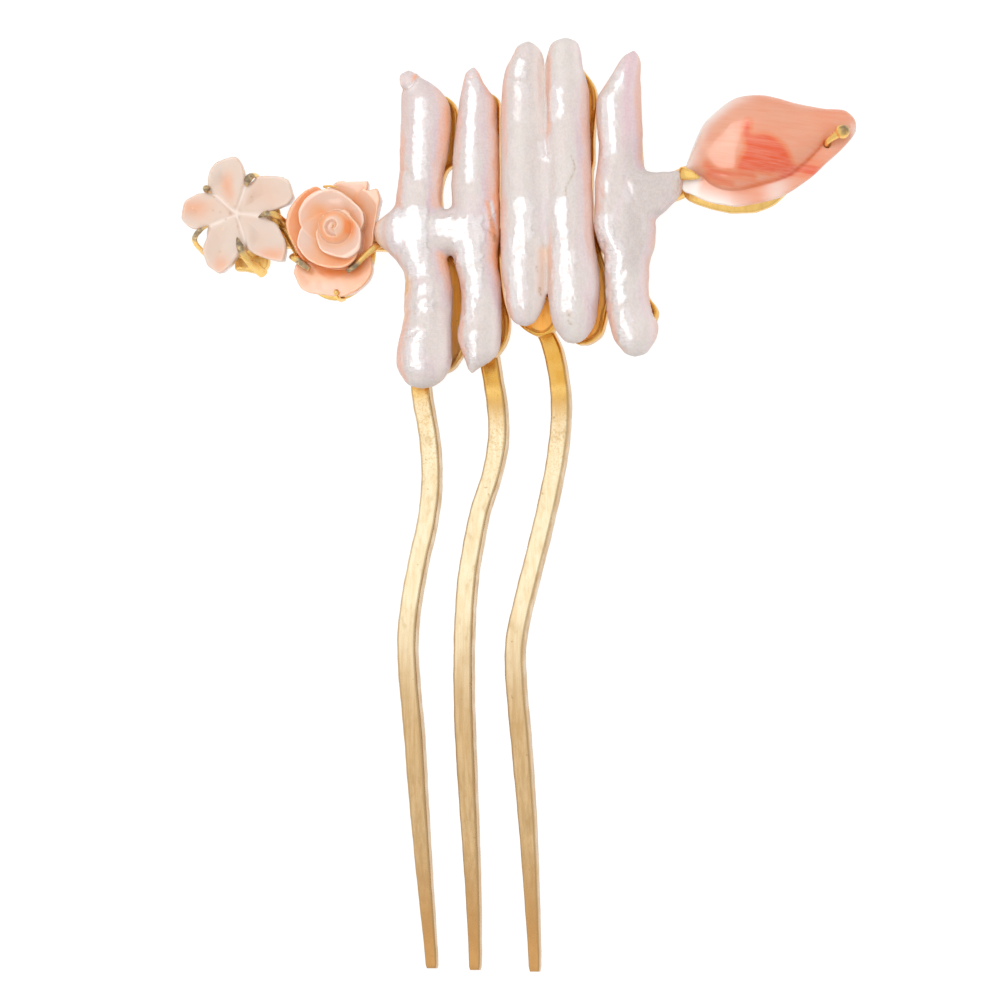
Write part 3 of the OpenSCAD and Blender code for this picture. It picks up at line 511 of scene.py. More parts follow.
def unit(vectors):
    """The same vectors, each one unit long."""
    return vectors / (np.linalg.norm(vectors, axis=-1, keepdims=True) + 1e-9)


def across(run):
    """Vectors in the plane turned a quarter turn to the left."""
    return np.stack([-run[..., 1], run[..., 0]], -1)


def towards(degrees):
    """The unit vector in the plane at an angle."""
    return np.array([math.cos(math.radians(degrees)), math.sin(math.radians(degrees))])


def smooth_min(a, b, k):
    """The lesser of two fields, blended where they are closer than k."""
    h = np.clip(0.5 + 0.5 * (b - a) / k, 0, 1)
    return b * (1 - h) + a * h - k * h * (1 - h)


def smooth_max(a, b, k):
    """The greater of two fields, blended where they are closer than k."""
    return -smooth_min(-a, -b, k)


def ease(x, low, high):
    """0 below low, 1 above high and smooth between them."""
    t = np.clip((x - low) / (high - low), 0, 1)
    return t * t * (3 - 2 * t)


def fade(distance, reach):
    """1 at no distance, fading out past reach."""
    return np.exp(-((distance / reach) ** 2))


def spots(rows, x, y):
    """The sum of soft spots. Columns of rows: x, y, reach along x, reach along y, strength."""
    total = 0
    for at_x, at_y, reach_x, reach_y, strength in rows:
        total = total + strength * fade(x - at_x, reach_x) * fade(y - at_y, reach_y)
    return total


def lattice(ix, iy, iz, seed):
    """A repeatable number from -1 to 1 for each corner of a grid of cells."""
    n = (ix * 73856093) ^ (iy * 19349663) ^ (iz * 83492791) ^ (seed * 668265263)
    n = (n ^ (n >> 13)) * 1274126177 & 0xFFFFFFFF
    n = (n ^ (n >> 16)) * 2246822519 & 0xFFFFFFFF
    return ((n >> 8) & 0xFFFF) / 32767.5 - 1


def noise(x, y, z, seed):
    """Smooth noise from -1 to 1 with cells one unit across."""
    fx, fy, fz = np.floor(x), np.floor(y), np.floor(z)
    tx, ty, tz = (ease(t, 0, 1) for t in (x - fx, y - fy, z - fz))
    ix, iy, iz = (f.astype(np.int64) for f in (fx, fy, fz))
    total = 0
    for dx in (0, 1):
        for dy in (0, 1):
            for dz in (0, 1):
                share = (tx if dx else 1 - tx) * (ty if dy else 1 - ty) * (tz if dz else 1 - tz)
                total = total + share * lattice(ix + dx, iy + dy, iz + dz, seed)
    return total


def roughness(node, x, y, z):
    """The lumps of one stone: the sum of its layers of noise."""
    total = 0
    for height, along_x, along_y, along_z, seed in ROUGHNESS[node]:
        total = total + height * noise(x * along_x, y * along_y, z * along_z, seed)
    return total


def path_distance(points, x, y):
    """Distance in the plane from each x, y to an open path."""
    best = np.full(np.broadcast(x, y).shape, 1e9)
    for (ax, ay), (bx, by) in zip(points[:-1], points[1:]):
        ex, ey = bx - ax, by - ay
        t = np.clip(((x - ax) * ex + (y - ay) * ey) / (ex * ex + ey * ey + 1e-12), 0, 1)
        best = np.minimum(best, (x - ax - ex * t) ** 2 + (y - ay - ey * t) ** 2)
    return np.sqrt(best)


def outline_distance(points, x, y):
    """Distance in the plane from each x, y to a closed outline, above zero inside it."""
    closed = np.concatenate([points, points[:1]])
    inside = np.zeros(np.broadcast(x, y).shape, bool)
    for (ax, ay), (bx, by) in zip(closed[:-1], closed[1:]):
        if ay != by:
            crosses = (ay > y) != (by > y)
            inside ^= crosses & (x < (by - y) / (by - ay) * ax + (y - ay) / (by - ay) * bx)
    return np.where(inside, 1, -1) * path_distance(closed, x, y)


def grid(node):
    """The coordinates of the cells in a stone's box, as three arrays that broadcast."""
    axes = [np.arange(a, b + CELLS[node], CELLS[node]) for a, b in zip(*BOXES[node])]
    return np.meshgrid(*axes, indexing="ij", sparse=True)


def roughen(node, field, coords, more=None):
    """Adds a stone's lumps, and more(x, y, z), to its field near its surface."""
    near = np.nonzero(np.abs(field) < RELIEF_REACH)
    places = [np.broadcast_to(a, field.shape)[near] for a in coords]
    field[near] += roughness(node, *places)
    if more is not None:
        field[near] += more(*places)
    return field


def stone_mesh(node, name, field):
    """The mesh where a stone's field is zero, and its points in millimetres."""
    volume = openvdb.FloatGrid()
    volume.copyFromArray(np.ascontiguousarray(field, dtype=np.float32))
    points, _, quads = volume.convertToPolygons(0.0, 0.0)
    points = points.astype(float) * CELLS[node] + np.array(BOXES[node][0])
    return mesh_from(name, points, quads), points


# Meshes


def signed_volume(points, faces):
    """Six times the volume that triangles or quads enclose, below zero where they face inward."""
    total = 0
    for k in range(1, faces.shape[1] - 1):
        a, b, c = points[faces[:, 0]], points[faces[:, k]], points[faces[:, k + 1]]
        total += np.einsum("ij,ij->i", a, np.cross(b, c)).sum()
    return total


def mesh_from(name, points, quads):
    """A mesh in metres from points in millimetres and quads, facing outward."""
    quads = np.asarray(quads, np.int64)
    if signed_volume(points, quads) < 0:
        quads = quads[:, ::-1]
    mesh = bpy.data.meshes.new(name)
    mesh.vertices.add(len(points))
    mesh.vertices.foreach_set("co", ((points + CENTRED) * MM).ravel())
    mesh.loops.add(quads.size)
    mesh.loops.foreach_set("vertex_index", quads.ravel())
    mesh.polygons.add(len(quads))
    mesh.polygons.foreach_set("loop_start", np.arange(0, quads.size, 4))
    mesh.polygons.foreach_set("use_smooth", np.ones(len(quads), bool))
    mesh.update(calc_edges=True)
    mesh.validate()
    return mesh


def set_values(mesh, values):
    """Stores numbers for each point of a mesh under their names, for its material to read."""
    for name, numbers in values.items():
        attribute = mesh.attributes.new(name, "FLOAT", "POINT")
        attribute.data.foreach_set("value", np.asarray(numbers, np.float32))


def show(name, data):
    """An object in the scene for a mesh, a light or a camera."""
    obj = bpy.data.objects.new(name, data)
    bpy.context.scene.collection.objects.link(obj)
    return obj


def piece(mesh, material, node):
    """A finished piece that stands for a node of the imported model."""
    obj = show(mesh.name, mesh)
    mesh.materials.append(material)
    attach(obj, "root")
    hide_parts(node)
    return obj


# Pearls


def stick(rows, z, coords, along=1):
    """The field of one stick along y, or along x where along is 0."""
    dense = smooth_rows(rows)
    dense = dense[np.argsort(dense[:, along])]
    key, other = dense[:, along], dense[:, 1 - along]
    square = np.maximum(dense[:, 2], 0) ** 2
    run, sideways = coords[along], coords[1 - along]
    beyond = np.maximum(key[0] - run, 0) + np.maximum(run - key[-1], 0)
    wide = np.sqrt(np.interp(run, key, square)) - beyond
    sideways = sideways - np.interp(run, key, other)
    return np.sqrt(sideways**2 + ((coords[2] - z) / PEARL_DEPTH) ** 2) - wide


def path_marks(rows, x, y, column, wide=1.0):
    """What each row of a table of creases or marks gives each place, from one of its columns."""
    found = []
    for row in rows:
        away = path_distance(smooth_rows([row[0:2], row[2:4], row[4:6]], 6), x, y)
        found.append(row[column] * fade(away, row[6] * wide))
    return found


def creases(rows, x, y, z, back):
    """How deep creases cut at each place, on the side that faces up."""
    return sum(path_marks(rows, x, y, 7)) * ease(z, back, back + 1)


def pair_relief(x, y, z):
    """Ring wrinkles and creases of the pair of sticks."""
    ringed = ease(np.abs(noise(x * 0.2, y * 0.35, z * 0.2, 14)), 0.05, 0.5)
    rings = 0.022 * noise(x * 0.7, y * 3.6, z * 0.7, 13) * ringed
    return rings + creases(PAIR_CREASES, x, y, z, PEARL_Z)


def twin_relief(x, y, z):
    """Long streaks, pits and the seam of the twin stick."""
    streaks = 0.022 * noise(x * 3.0 + y * 0.25, y * 0.8, z * 2.4, 23)
    pitted = ease(-np.abs(y - 19.5), -2.4, -1.2) * ease(x, 5.2, 5.8)
    pits = 0.12 * ease(noise(x * 2.2, y * 2.2, z * 2.2, 25), 0.62, 0.85) * pitted
    return streaks + pits + creases(TWIN_CREASES, x, y, z, TWIN_Z)


def cross_relief(x, y, z):
    """The wrinkled ridge and the dents of the cross."""
    band = ease(y, 18.4, 20.2) * (1 - ease(y, 25.5, 28.5)) * (1 - ease(x, 11.3, 12.1))
    wrinkles = (0.008 + 0.075 * band) * noise(x * 0.9 + y * 0.4, y * 2.9 - x * 0.8, z * 0.9, 33)
    return wrinkles + creases(CROSS_CREASES, x, y, z, PEARL_Z)


def pair_field(coords):
    """The left pearl: two sticks with a bridge between them, a lobe and a nub."""
    field = smooth_min(stick(PAIR_LEFT, PEARL_Z, coords), stick(PAIR_LOBE, PEARL_Z, coords, 0), 0.9)
    field = smooth_min(field, stick(PAIR_NUB, NUB_Z, coords), 0.15)
    field = smooth_min(field, stick(PAIR_BRIDGE, PEARL_Z, coords, 0), 0.7)
    return smooth_min(field, stick(PAIR_RIGHT, PEARL_Z, coords), 0.7)


def twin_field(coords):
    """The middle pearl: two sticks fused along a seam."""
    field = smooth_min(stick(TWIN_LEFT, TWIN_Z, coords), stick(TWIN_RIGHT, TWIN_Z, coords), 0.6)
    return smooth_min(field, stick(TWIN_SEAM, TWIN_Z, coords), 0.7)


def cross_field(coords):
    """The right pearl, with its top cut flat to the right of a ridge."""
    field = smooth_min(stick(CROSS_UP, PEARL_Z, coords), stick(CROSS_ARM, PEARL_Z, coords, 0), 0.8)
    x, y, z = coords
    ridge = 10.4 + 0.055 * (31 - y) + 0.25 * np.sin(y * 0.5)
    facet = (z - PEARL_Z - 2.15) * 0.97 + (x - ridge) * 0.2
    return smooth_max(field, facet, 0.22)


def pair_grain(x, y):
    """How strong the ripples across the pair and the streaks along it are."""
    low = 1 - ease(y, 31, 34)
    return 0.75 + 0.35 * low, 0.25 + 0.2 * low


def twin_grain(x, y):
    """The same for the twin stick."""
    lively = 0.5 + 0.5 * noise(x * 0.3, y * 0.22, x * 0, 27)
    return 0.45 + 0.5 * (1 - ease(np.abs(y - 45), 1, 3)), 0.6 + 0.6 * lively


def cross_grain(x, y):
    """The same for the cross."""
    ridge = 1 - ease(x, 11.3, 12.1)
    return 0.5 + 0.7 * ridge * (1 - ease(y, 27, 30)), 0.25 + 0.2 * ridge


def pair_tint(x, y):
    """How strong the painted gilt reflection on the pair's right side is, how much painted shade greys it,
    and how pink it is.
    """
    return 0.5 + 0.5 * ease(y, 19, 26), 0 * x, 0.2 * ease(y, 35, 38)


def twin_tint(x, y):
    """The same for the twin stick."""
    seam = ease(x, 0.8, 1.6) * (1 - ease(x, 4.2, 5.2))
    right = (0.65 + 0.2 * ease(y, 22, 28)) * (1 - 0.7 * seam) * (1 - 0.5 * ease(y, 43, 45))
    return right, 0 * x, 0 * x


def cross_tint(x, y):
    """The same for the cross."""
    # Painted shade: the flat facet right of the ridge is laid darker and greyer.
    flat = ease(x, 11.2, 12.2) * ease(y, 22, 25) * (1 - ease(y, 36, 39))
    pink = 0.7 * ease(x, 10.8, 11.8) * ease(y, 34, 38)
    pink = pink + 0.4 * ease(x, 14.8, 16.2) * (1 - ease(y, 31.6, 32.4))
    return 0.7 + 0.1 * ease(y, 36, 40), flat, pink


def gilt_glow_and_crease_warmth_of(x, y, height, z, warm):
    """Painted warm reflection of the gilt on a pearl's low sides, and the warm colour of its creases."""
    low = 1 - ease(height, z - 1.2, z + 1.15)
    patchy = 0.5 + 0.5 * noise(x * 0.35, y * 0.3, height * 0.3, 41)
    return np.clip(low * (0.55 + 0.5 * patchy) + warm, 0, 1)


def lustre_of(rows, x, y):
    """How lustrous a pearl is at each place: each row of the table has ragged edges."""
    side = x + 0.22 * noise(x * 1.1, y * 1.9, x * 0, 43) + 0.1 * noise(x * 2.5, y * 5.5, x * 0, 44)
    along = y + 0.35 * noise(x * 2.2, y * 0.9, x * 0, 45)
    broken = 1 - 0.3 * ease(noise(x * 3.0, y * 1.3, x * 0, 46), 0.15, 0.6)
    total = np.zeros(len(x))
    for left, right, low, high, strength in rows:
        width = ease(side, left - 0.35, left + 0.15) * (1 - ease(side, right - 0.15, right + 0.25))
        run = ease(along, low - 0.35, low + 0.3) * (1 - ease(along, high - 0.3, high + 0.35))
        total = np.maximum(total, strength * width * run)
    return total * broken


def pearl(node, z, field_at, relief, grain, tint, tables, material):
    """One stick pearl meshed from its field, with what its material reads stored on it.

    z is the height of its middle, and tables are its creases, lustrous places and brown marks.
    """
    crease_rows, lustre_rows, mark_rows = tables
    coords = grid(node)
    mesh, points = stone_mesh(node, node + "_nacre", roughen(node, field_at(coords), coords, relief))
    x, y, height = points.T
    top = ease(height, z, z + 1)
    normals = np.empty(len(points) * 3)
    mesh.vertex_normals.foreach_get("vector", normals)
    facing = normals[::3]
    ripple, streak = grain(x, y)
    right, grey, pink = tint(x, y)
    set_values(mesh, {
        "gilt_glow_and_crease_warmth": gilt_glow_and_crease_warmth_of(x, y, height, z, sum(path_marks(crease_rows, x, y, 8, 1.6)) * top),
        # side: which way the surface faces across, scaled on the right by the tint; it places the painted
        # sheen and the painted gilt reflections
        "side": facing * np.where(facing > 0, right, 1),
        # facing: which way the surface faces across, read here only for painted light on the right-facing
        # sides
        "facing": facing,
        # grey: painted shade on the cross's flat facet
        "grey": grey,
        "pink": pink,
        "lustre": lustre_of(lustre_rows, x, y) * top,
        "mark": np.max(path_marks(mark_rows, x, y, 7), axis=0) * top,
        "ripple": ripple,
        "streak": streak,
    })
    return piece(mesh, material, node)


# Carved coral


def flower_inside(x, y):
    """Distance to the outline of the nearest of the flower's petals, above zero inside it."""
    return np.max([outline_distance(smooth_rows(rows, 4, True), x, y) for rows in PETALS], axis=0)


def flower_field(coords):
    """Flat petals with rounded edges and a soft valley between each two, over a solid middle."""
    x, y = coords[0][:, :, 0], coords[1][:, :, 0]
    z = coords[2]
    inside = flower_inside(x, y)
    depth = np.maximum(inside, 0)
    away = np.hypot(x - FLOWER_MIDDLE[0], y - FLOWER_MIDDLE[1])
    top = PETAL_RIM - PETAL_DISH * (1 - fade(depth, 1.7))
    top -= PETAL_VALLEY * np.exp(-((depth / 0.3) ** 1.3)) * (1 - ease(away, 3.2, 4.6))
    top -= 0.25 * ease(-inside, 0, 0.5) + 0.08 * (1 - ease(away, 0.2, 1.0))
    body = smooth_max(inside, FLOWER_CORE - away, 0.5)
    undercut = (PETAL_RIM - z) * ease(away, 3.0, 4.2)[:, :, None] * 0.18
    field = smooth_max(z - top[:, :, None], undercut - body[:, :, None], 0.3)
    return smooth_max(field, CORAL_BACK - z, 0.2)


def flower(material):
    """The flower, with its salmon patches, painted light on its edges and in its valleys, and brown flecks
    stored.
    """
    coords = grid("coral_flower")
    field = roughen("coral_flower", flower_field(coords), coords)
    mesh, points = stone_mesh("coral_flower", "coral_flower_carved", field)
    x, y, z = points.T
    tone = 0.12 + 0.1 * noise(x * 0.5, y * 0.5, z * 0.4, 52) + spots(BLUSHES, x, y)
    flecks = np.max([spots([(at_x, at_y, r, r, dark)], x, y) for at_x, at_y, r, dark in FLECKS], axis=0)
    # Painted light: the valleys between the petals are laid paler, lifting their shade.
    valley = 0.8 * fade(np.maximum(flower_inside(x, y), 0), 0.22)
    set_values(mesh, {
        "tone": np.clip(tone, 0, 1),
        # edge: painted light, paler low on the rounded edges and in the valleys
        "edge": np.maximum(1 - ease(z, 4.4, 4.9), valley),
        "fleck": flecks * ease(z, 4.4, 4.8),
    })
    return piece(mesh, material, "coral_flower")


def bud_field(x, y, z):
    """The rolled bud: a cone whose lip winds in to a small hollow."""
    dx, dy = x - ROSE_MIDDLE[0], y - ROSE_MIDDLE[1]
    away = np.sqrt(dx * dx + dy * dy)
    turn = (np.arctan2(dy, dx) / (2 * math.pi) + 0.2) % 1.0
    lip = 0.42 + 0.75 * turn
    crest = BUD_TOP - 0.1 - 0.65 * turn
    inner = crest - 1.5 * np.clip(lip - away, 0, 0.32)
    outer = crest - 0.9 * np.clip(away - lip, 0, 3)
    side = away - BUD_RADIUS - (6.4 - z) * 0.2
    return smooth_max((z - np.minimum(inner, outer)) * 0.7, side, 0.25)


def petal_inside(petal, x, y):
    """Distance to the outline of one of the rose's petals, above zero inside it."""
    return outline_distance(smooth_rows(petal["outline"], 5, True), x, y)


def cupped_petal(petal, x, y, z):
    """The field of one of the rose's petals: a rounded lip, and inside it a fall towards the middle."""
    inside = petal_inside(petal, x, y)
    away = np.hypot(x - ROSE_MIDDLE[0], y - ROSE_MIDDLE[1])
    lip = petal["lip"] - petal["slope"] * np.clip(petal["reach"] - away, 0, 3)
    hollow = petal.get("hollow", PETAL_HOLLOW) * (1 - fade(np.maximum(inside, 0), 0.8))
    return smooth_max(z - lip + hollow, -inside + (lip - z) * 0.13, 0.24)


def rose_parts(x, y, z):
    """The fields of the rose's petals and its bud."""
    return [cupped_petal(petal, x, y, z) for petal in ROSE_PETALS] + [bud_field(x, y, z)]


def rose_tone_and_shade(x, y, z):
    """How orange the rose is: each petal's own warmth, and painted shade, deeper close to the petal above
    it and in the bud's hollow.
    """
    parts = np.array(rose_parts(x, y, z))
    share = np.exp((parts.min(0) - parts) / 0.05)
    share /= share.sum(0)
    away = np.hypot(x - ROSE_MIDDLE[0], y - ROSE_MIDDLE[1])
    beyond = [np.maximum(-petal_inside(petal, x, y), 0) for petal in ROSE_PETALS]
    beyond += [np.maximum(away - BUD_RADIUS, 0), np.full(len(x), 9.0)]
    warm = [petal["warm"] for petal in ROSE_PETALS] + [BUD_WARM]
    tone = spots(ROSE_TINTS_AND_SHADE, x, y)
    for i, mine in enumerate(share):
        above = np.min(beyond[i + 1:], axis=0)
        # Painted shade: deeper orange in the groove under the petal above.
        tone = tone + mine * (warm[i] + 0.38 * np.exp(-above / 0.5))
    # Painted shade in the bud's middle hollow and in a ring round it.
    tone = tone + 0.55 * share[-1] * (np.exp(-away / 0.3) + fade(away - 1.4, 0.35))
    return np.clip(tone, 0, 1)


def rose(material):
    """The rose: cupped petals over each other round a rolled bud."""
    coords = grid("coral_rose")
    field, *others = rose_parts(*coords)
    for part in others:
        field = smooth_min(field, part, 0.1)
    field = roughen("coral_rose", smooth_max(field, CORAL_BACK - coords[2], 0.2), coords)
    mesh, points = stone_mesh("coral_rose", "coral_rose_carved", field)
    set_values(mesh, {"tone": rose_tone_and_shade(*points.T)})
    return piece(mesh, material, "coral_rose")


def leaf_columns(x, dense):
    """The leaf's lower edge, fold, upper edge and dome at each x."""
    return [np.interp(x, dense[:, 0], dense[:, column]) for column in (1, 2, 3, 4)]


def leaf_inside(x, y, dense):
    """Distance to the leaf's outline, above zero inside it."""
    outline = np.concatenate([dense[:, [0, 1]], dense[::-1][:, [0, 3]]])
    return outline_distance(outline, x, y)


def leaf_field(coords, dense):
    """A dome above the fold and a flange below it."""
    x, y, z = coords
    _, fold, upper, dome = leaf_columns(x, dense)
    inside = leaf_inside(x[:, :, 0], y[:, :, 0], dense)[:, :, None]
    share = np.clip((y - fold) / np.maximum(upper - fold, 0.3), 0, 1)
    rise = (np.sin(math.pi * share**0.85) ** 2 + 0.003) ** 0.31 - 0.003**0.31
    flange = LEAF_TOP + 0.45 * (1 - ease(x, 17, 33)) - 0.1 * np.clip((fold - y) / 2, 0, 1)
    top = np.maximum(flange, LEAF_TOP - 0.4) + (dome - LEAF_TOP) * rise
    slope = 1 / np.sqrt(1 + 1.2 * (1 - rise) * (share > 0))
    field = smooth_max((z - top) * slope, -inside + (LEAF_TOP - z) * 0.25, 0.4)
    return smooth_max(field, CORAL_BACK - z, 0.25)


def leaf_tone(x, y, z, dense):
    """How deep the leaf's red is: most in the middle above the fold and along the fold."""
    fold = leaf_columns(x, dense)[1]
    heart = ease(outline_distance(smooth_rows(DEEP_RED, 4, True), x, y), -0.5, 0.6)
    along = fade(y - fold - 0.1, 0.3) * ease(x, 21, 27) * (1 - ease(x, 31.5, 34))
    crimson = fade(y - fold - 0.2, 0.45) * fade(x - 28.6, 1.2)
    tone = 0.28 + 0.06 * noise(x * 0.5, y * 0.5, z, 72) + 0.75 * heart + 0.35 * along + 0.45 * crimson
    tone = tone + spots([LEAF_PATCH], x, y) * (y < fold) + spots([LEAF_LEFT], x, y)
    return np.clip(tone + sum(path_marks(LEAF_CREASES, x, y, 8, 1.3)), 0, 1)


def leaf_white(x, y, dense):
    """How white the leaf is: along its left edge, at the left of its flange and at its right end, whose
    white is a painted soft highlight.
    """
    fold = leaf_columns(x, dense)[1]
    inside = np.maximum(leaf_inside(x, y, dense), 0)
    margin = fade(inside, 1.15) * (1 - ease(x, 21, 26)) * 0.85
    below = 1 - ease(y, fold - 0.25, fold + 0.05)
    corner = (1 - ease(x, 18.6, 19.9)) * below
    pale = fade(x - 27.2, 1.3) * below * 0.55
    rim = fade(inside, 0.3) * 0.15
    return np.clip(np.max([margin, corner, pale, spots([LEAF_END], x, y), rim], axis=0), 0, 1)


def leaf(material):
    """The leaf with the hole of its pin, and with its reds and whites stored."""
    coords = grid("coral_leaf")
    dense = smooth_rows(LEAF_ROWS)
    field = leaf_field(coords, dense)
    field = roughen("coral_leaf", field, coords, lambda x, y, z: creases(LEAF_CREASES, x, y, z, 4))
    away = np.hypot(coords[0] - LEAF_PIN[0][0], coords[1] - LEAF_PIN[0][1])
    mesh, points = stone_mesh("coral_leaf", "coral_leaf_carved", smooth_max(field, LEAF_HOLE - away, 0.06))
    x, y, z = points.T
    set_values(mesh, {"tone": leaf_tone(x, y, z, dense), "white": leaf_white(x, y, dense)})
    return piece(mesh, material, "coral_leaf")


# Metal


def loft(name, rings):
    """A closed solid through rings of points, with one face over each end."""
    rings = np.asarray(rings, float)
    count, sides, _ = rings.shape
    points = rings.reshape(-1, 3)
    index = np.arange(count * sides).reshape(count, sides)
    turned = np.roll(index, -1, 1)
    quads = np.stack([index[:-1], turned[:-1], turned[1:], index[1:]], -1).reshape(-1, 4)
    caps = [index[0, ::-1], index[-1]]
    fans = [(cap[0], cap[k], cap[k + 1]) for cap in caps for k in range(1, sides - 1)]
    faces = [*quads.tolist(), *(cap.tolist() for cap in caps)]
    if signed_volume(points, quads) + signed_volume(points, np.array(fans)) < 0:
        faces = [face[::-1] for face in faces]
    mesh = bpy.data.meshes.new(name)
    mesh.from_pydata(((points + CENTRED) * MM).tolist(), [], faces)
    mesh.validate()
    return show(name, mesh)


def prong_section():
    """A square with rounded corners and three points along each side, as shares of the half width."""
    points = []
    for corner in range(4):
        middle = 45 + 90 * corner
        centre = np.sign(towards(middle)) * (1 - EDGE_ROUND)
        points += [centre + EDGE_ROUND * towards(middle + step) for step in (-45, -15, 15, 45)]
        last = points[-1]
        side = 2 * (1 - EDGE_ROUND) * towards(middle + 135)
        points += [last + side * share for share in (0.12, 0.5, 0.88)]
    return np.array(points)


def prong_width(y):
    """The width of the prongs, which taper towards their tips."""
    return PRONG_W + (TIP_W - PRONG_W) * np.clip((TAPER_Y - y) / TAPER_LONG, 0, 1) ** 1.3


def prong(side):
    """One prong: a square wire with rounded edges that waves, bows and tapers to a blunt tip."""
    route = smooth_rows(PRONGS[side], 14)
    bow = smooth_rows(BOW_ROWS, 10)
    section = prong_section()
    rings = []
    tip = route[-1, 0]
    for y, x in route - (0, PRONG_SHIFT):
        width = prong_width(y) * (1 + 0.012 * math.sin(y * 1.3) + 0.01 * math.sin(y * 3.1 + 1))
        height = max(BOW * np.interp(-y, -bow[:, 0], bow[:, 1]), width / 2)
        from_tip = min(1.0, (y - tip) / TIP_ROUND + 0.12)
        blunt = math.sqrt(max(0.0, 1 - (1 - from_tip) ** 2))
        half = width / 2 * (0.72 + 0.28 * blunt)
        rings.append([(x + half * a, y, height + half * b) for a, b in section])
    return loft("prong_" + side, rings)


def inset(points, distance):
    """An outline moved inward by a distance along its own normals."""
    ahead = np.roll(points, -1, 0)
    area = np.sum(points[:, 0] * ahead[:, 1] - ahead[:, 0] * points[:, 1])
    return points + across(unit(ahead - np.roll(points, 1, 0))) * distance * (1 if area > 0 else -1)


def even_outline(points):
    """The same closed outline with its points an even distance apart."""
    closed = np.concatenate([points, points[:1]])
    steps = np.linalg.norm(np.diff(closed, axis=0), axis=1)
    run = np.concatenate([[0], np.cumsum(steps)])
    at = np.linspace(0, run[-1], int(run[-1] / OUTLINE_STEP), endpoint=False)
    return np.stack([np.interp(at, run, closed[:, k]) for k in (0, 1)], -1)


def shell(name, outline, profile):
    """A plate or dish: the outline moved inward and raised as each row of the profile says."""
    outline = even_outline(outline)
    rings = [np.insert(inset(outline, inward), 2, height, axis=1) for inward, height in profile]
    return loft(name, rings)


def side_outline(rows):
    """The outline between the left and right edges of a tray's rows."""
    dense = smooth_rows(rows, 6)
    return np.concatenate([dense[:, [1, 0]], dense[::-1][:, [2, 0]]])


def tray(name, rows):
    """A pearl's tray: a floor, a wall with a rounded rim and a rolled bottom edge."""
    floor_z = TWIN_FLOOR if name.startswith("twin") else TRAY_FLOOR
    profile = [
        (0.3, BAR_TOP - 0.2), (0.12, BAR_TOP), (0.0, TRAY_FLOOR - 0.4), (-0.02, TRAY_RIM - 0.35),
        (0.02, TRAY_RIM - 0.1), (0.12, TRAY_RIM), (0.3, TRAY_RIM), (0.42, TRAY_RIM - 0.1),
        (0.48, TRAY_RIM - 0.3), (0.52, floor_z + 0.12), (0.68, floor_z),
    ]
    return shell("tray_" + name, side_outline(rows), profile)


def back_bar():
    """The flat bar along the back, with round ends."""
    route = smooth_rows(BAR_ROUTE)
    run = unit(np.gradient(route, axis=0))
    side = across(run) * BAR_WIDTH / 2
    turn = np.linspace(-math.pi / 2, math.pi / 2, 12)[1:-1, None]
    caps = []
    for at, heading in ((route[-1], run[-1]), (route[0], -run[0])):
        caps.append(at + BAR_WIDTH / 2 * (np.cos(turn) * heading + np.sin(turn) * across(heading)))
    outline = np.concatenate([route - side, caps[0], (route + side)[::-1], caps[1]])
    profile = [
        (0.25, 0.0), (0.07, 0.07), (0.0, 0.25), (0.0, BAR_TOP - 0.25), (0.07, BAR_TOP - 0.07),
        (0.25, BAR_TOP),
    ]
    return shell("back_bar", outline, profile)


def cup(name, x, y, half_wide, half_high):
    """A low oval cup with a rounded rim under a coral."""
    angles = np.linspace(0, 2 * math.pi, 72, endpoint=False)
    outline = np.stack([x + half_wide * np.cos(angles), y + half_high * np.sin(angles)], -1)
    top = CORAL_BACK - 0.12
    profile = [
        (1.1, 1.0), (0.85, 1.08), (0.12, top - 0.45), (0.0, top - 0.2), (0.03, top - 0.06), (0.15, top),
    ]
    return shell(name, outline, profile)


def wire(name, route, widths, flat):
    """A wire along a route, with its half widths along it and its thickness as a share of them."""
    path = smooth_rows(route)
    run = unit(np.gradient(path, axis=0))
    half = np.interp(np.linspace(0, 1, len(path)), np.linspace(0, 1, len(widths)), widths)
    side = unit(np.append(across(path[-1, :2] - path[0, :2]), 0.0))
    angles = np.linspace(0, 2 * math.pi, 14, endpoint=False)[:, None]
    rings = []
    for point, heading, w in zip(path, run, half):
        wide = unit(side - heading * side.dot(heading))
        high = np.cross(heading, wide)
        rings.append(point + wide * w * np.cos(angles) + high * w * flat * np.sin(angles))
    return loft(name, rings)


def ball(name, x, y, z, width):
    """A ball of metal, a little lumpy."""
    a = np.linspace(0, 2 * math.pi, 24, endpoint=False)
    rings = []
    for lift in np.linspace(0, math.pi, 17)[1:-1]:
        r = width / 2 * (1 - 0.03 * np.sin(3 * a + x) * math.sin(lift))
        level = r * math.sin(lift)
        rings.append(np.stack([x + level * np.cos(a), y + level * np.sin(a), z - r * math.cos(lift)], -1))
    return loft(name, rings)


def metal_parts():
    """Every part of the mount before it is soldered into one."""
    parts = [back_bar()]
    parts += [tray(name, rows) for name, rows in TRAYS.items()]
    parts.append(shell("tray_leaf", side_outline(LEAF_TRAY), LEAF_TRAY_PROFILE))
    parts += [cup(name, *sizes) for name, sizes in CUPS.items()]
    parts += [prong(side) for side in PRONGS]
    parts.append(shell("claw_seat", smooth_rows(CLAW_SEAT, 4, True), CLAW_SEAT_PROFILE))
    parts += [wire(name, *rows) for name, rows in WIRES.items()]
    parts += [ball(f"ball_{i}", *sizes) for i, sizes in enumerate(BALLS)]
    return parts


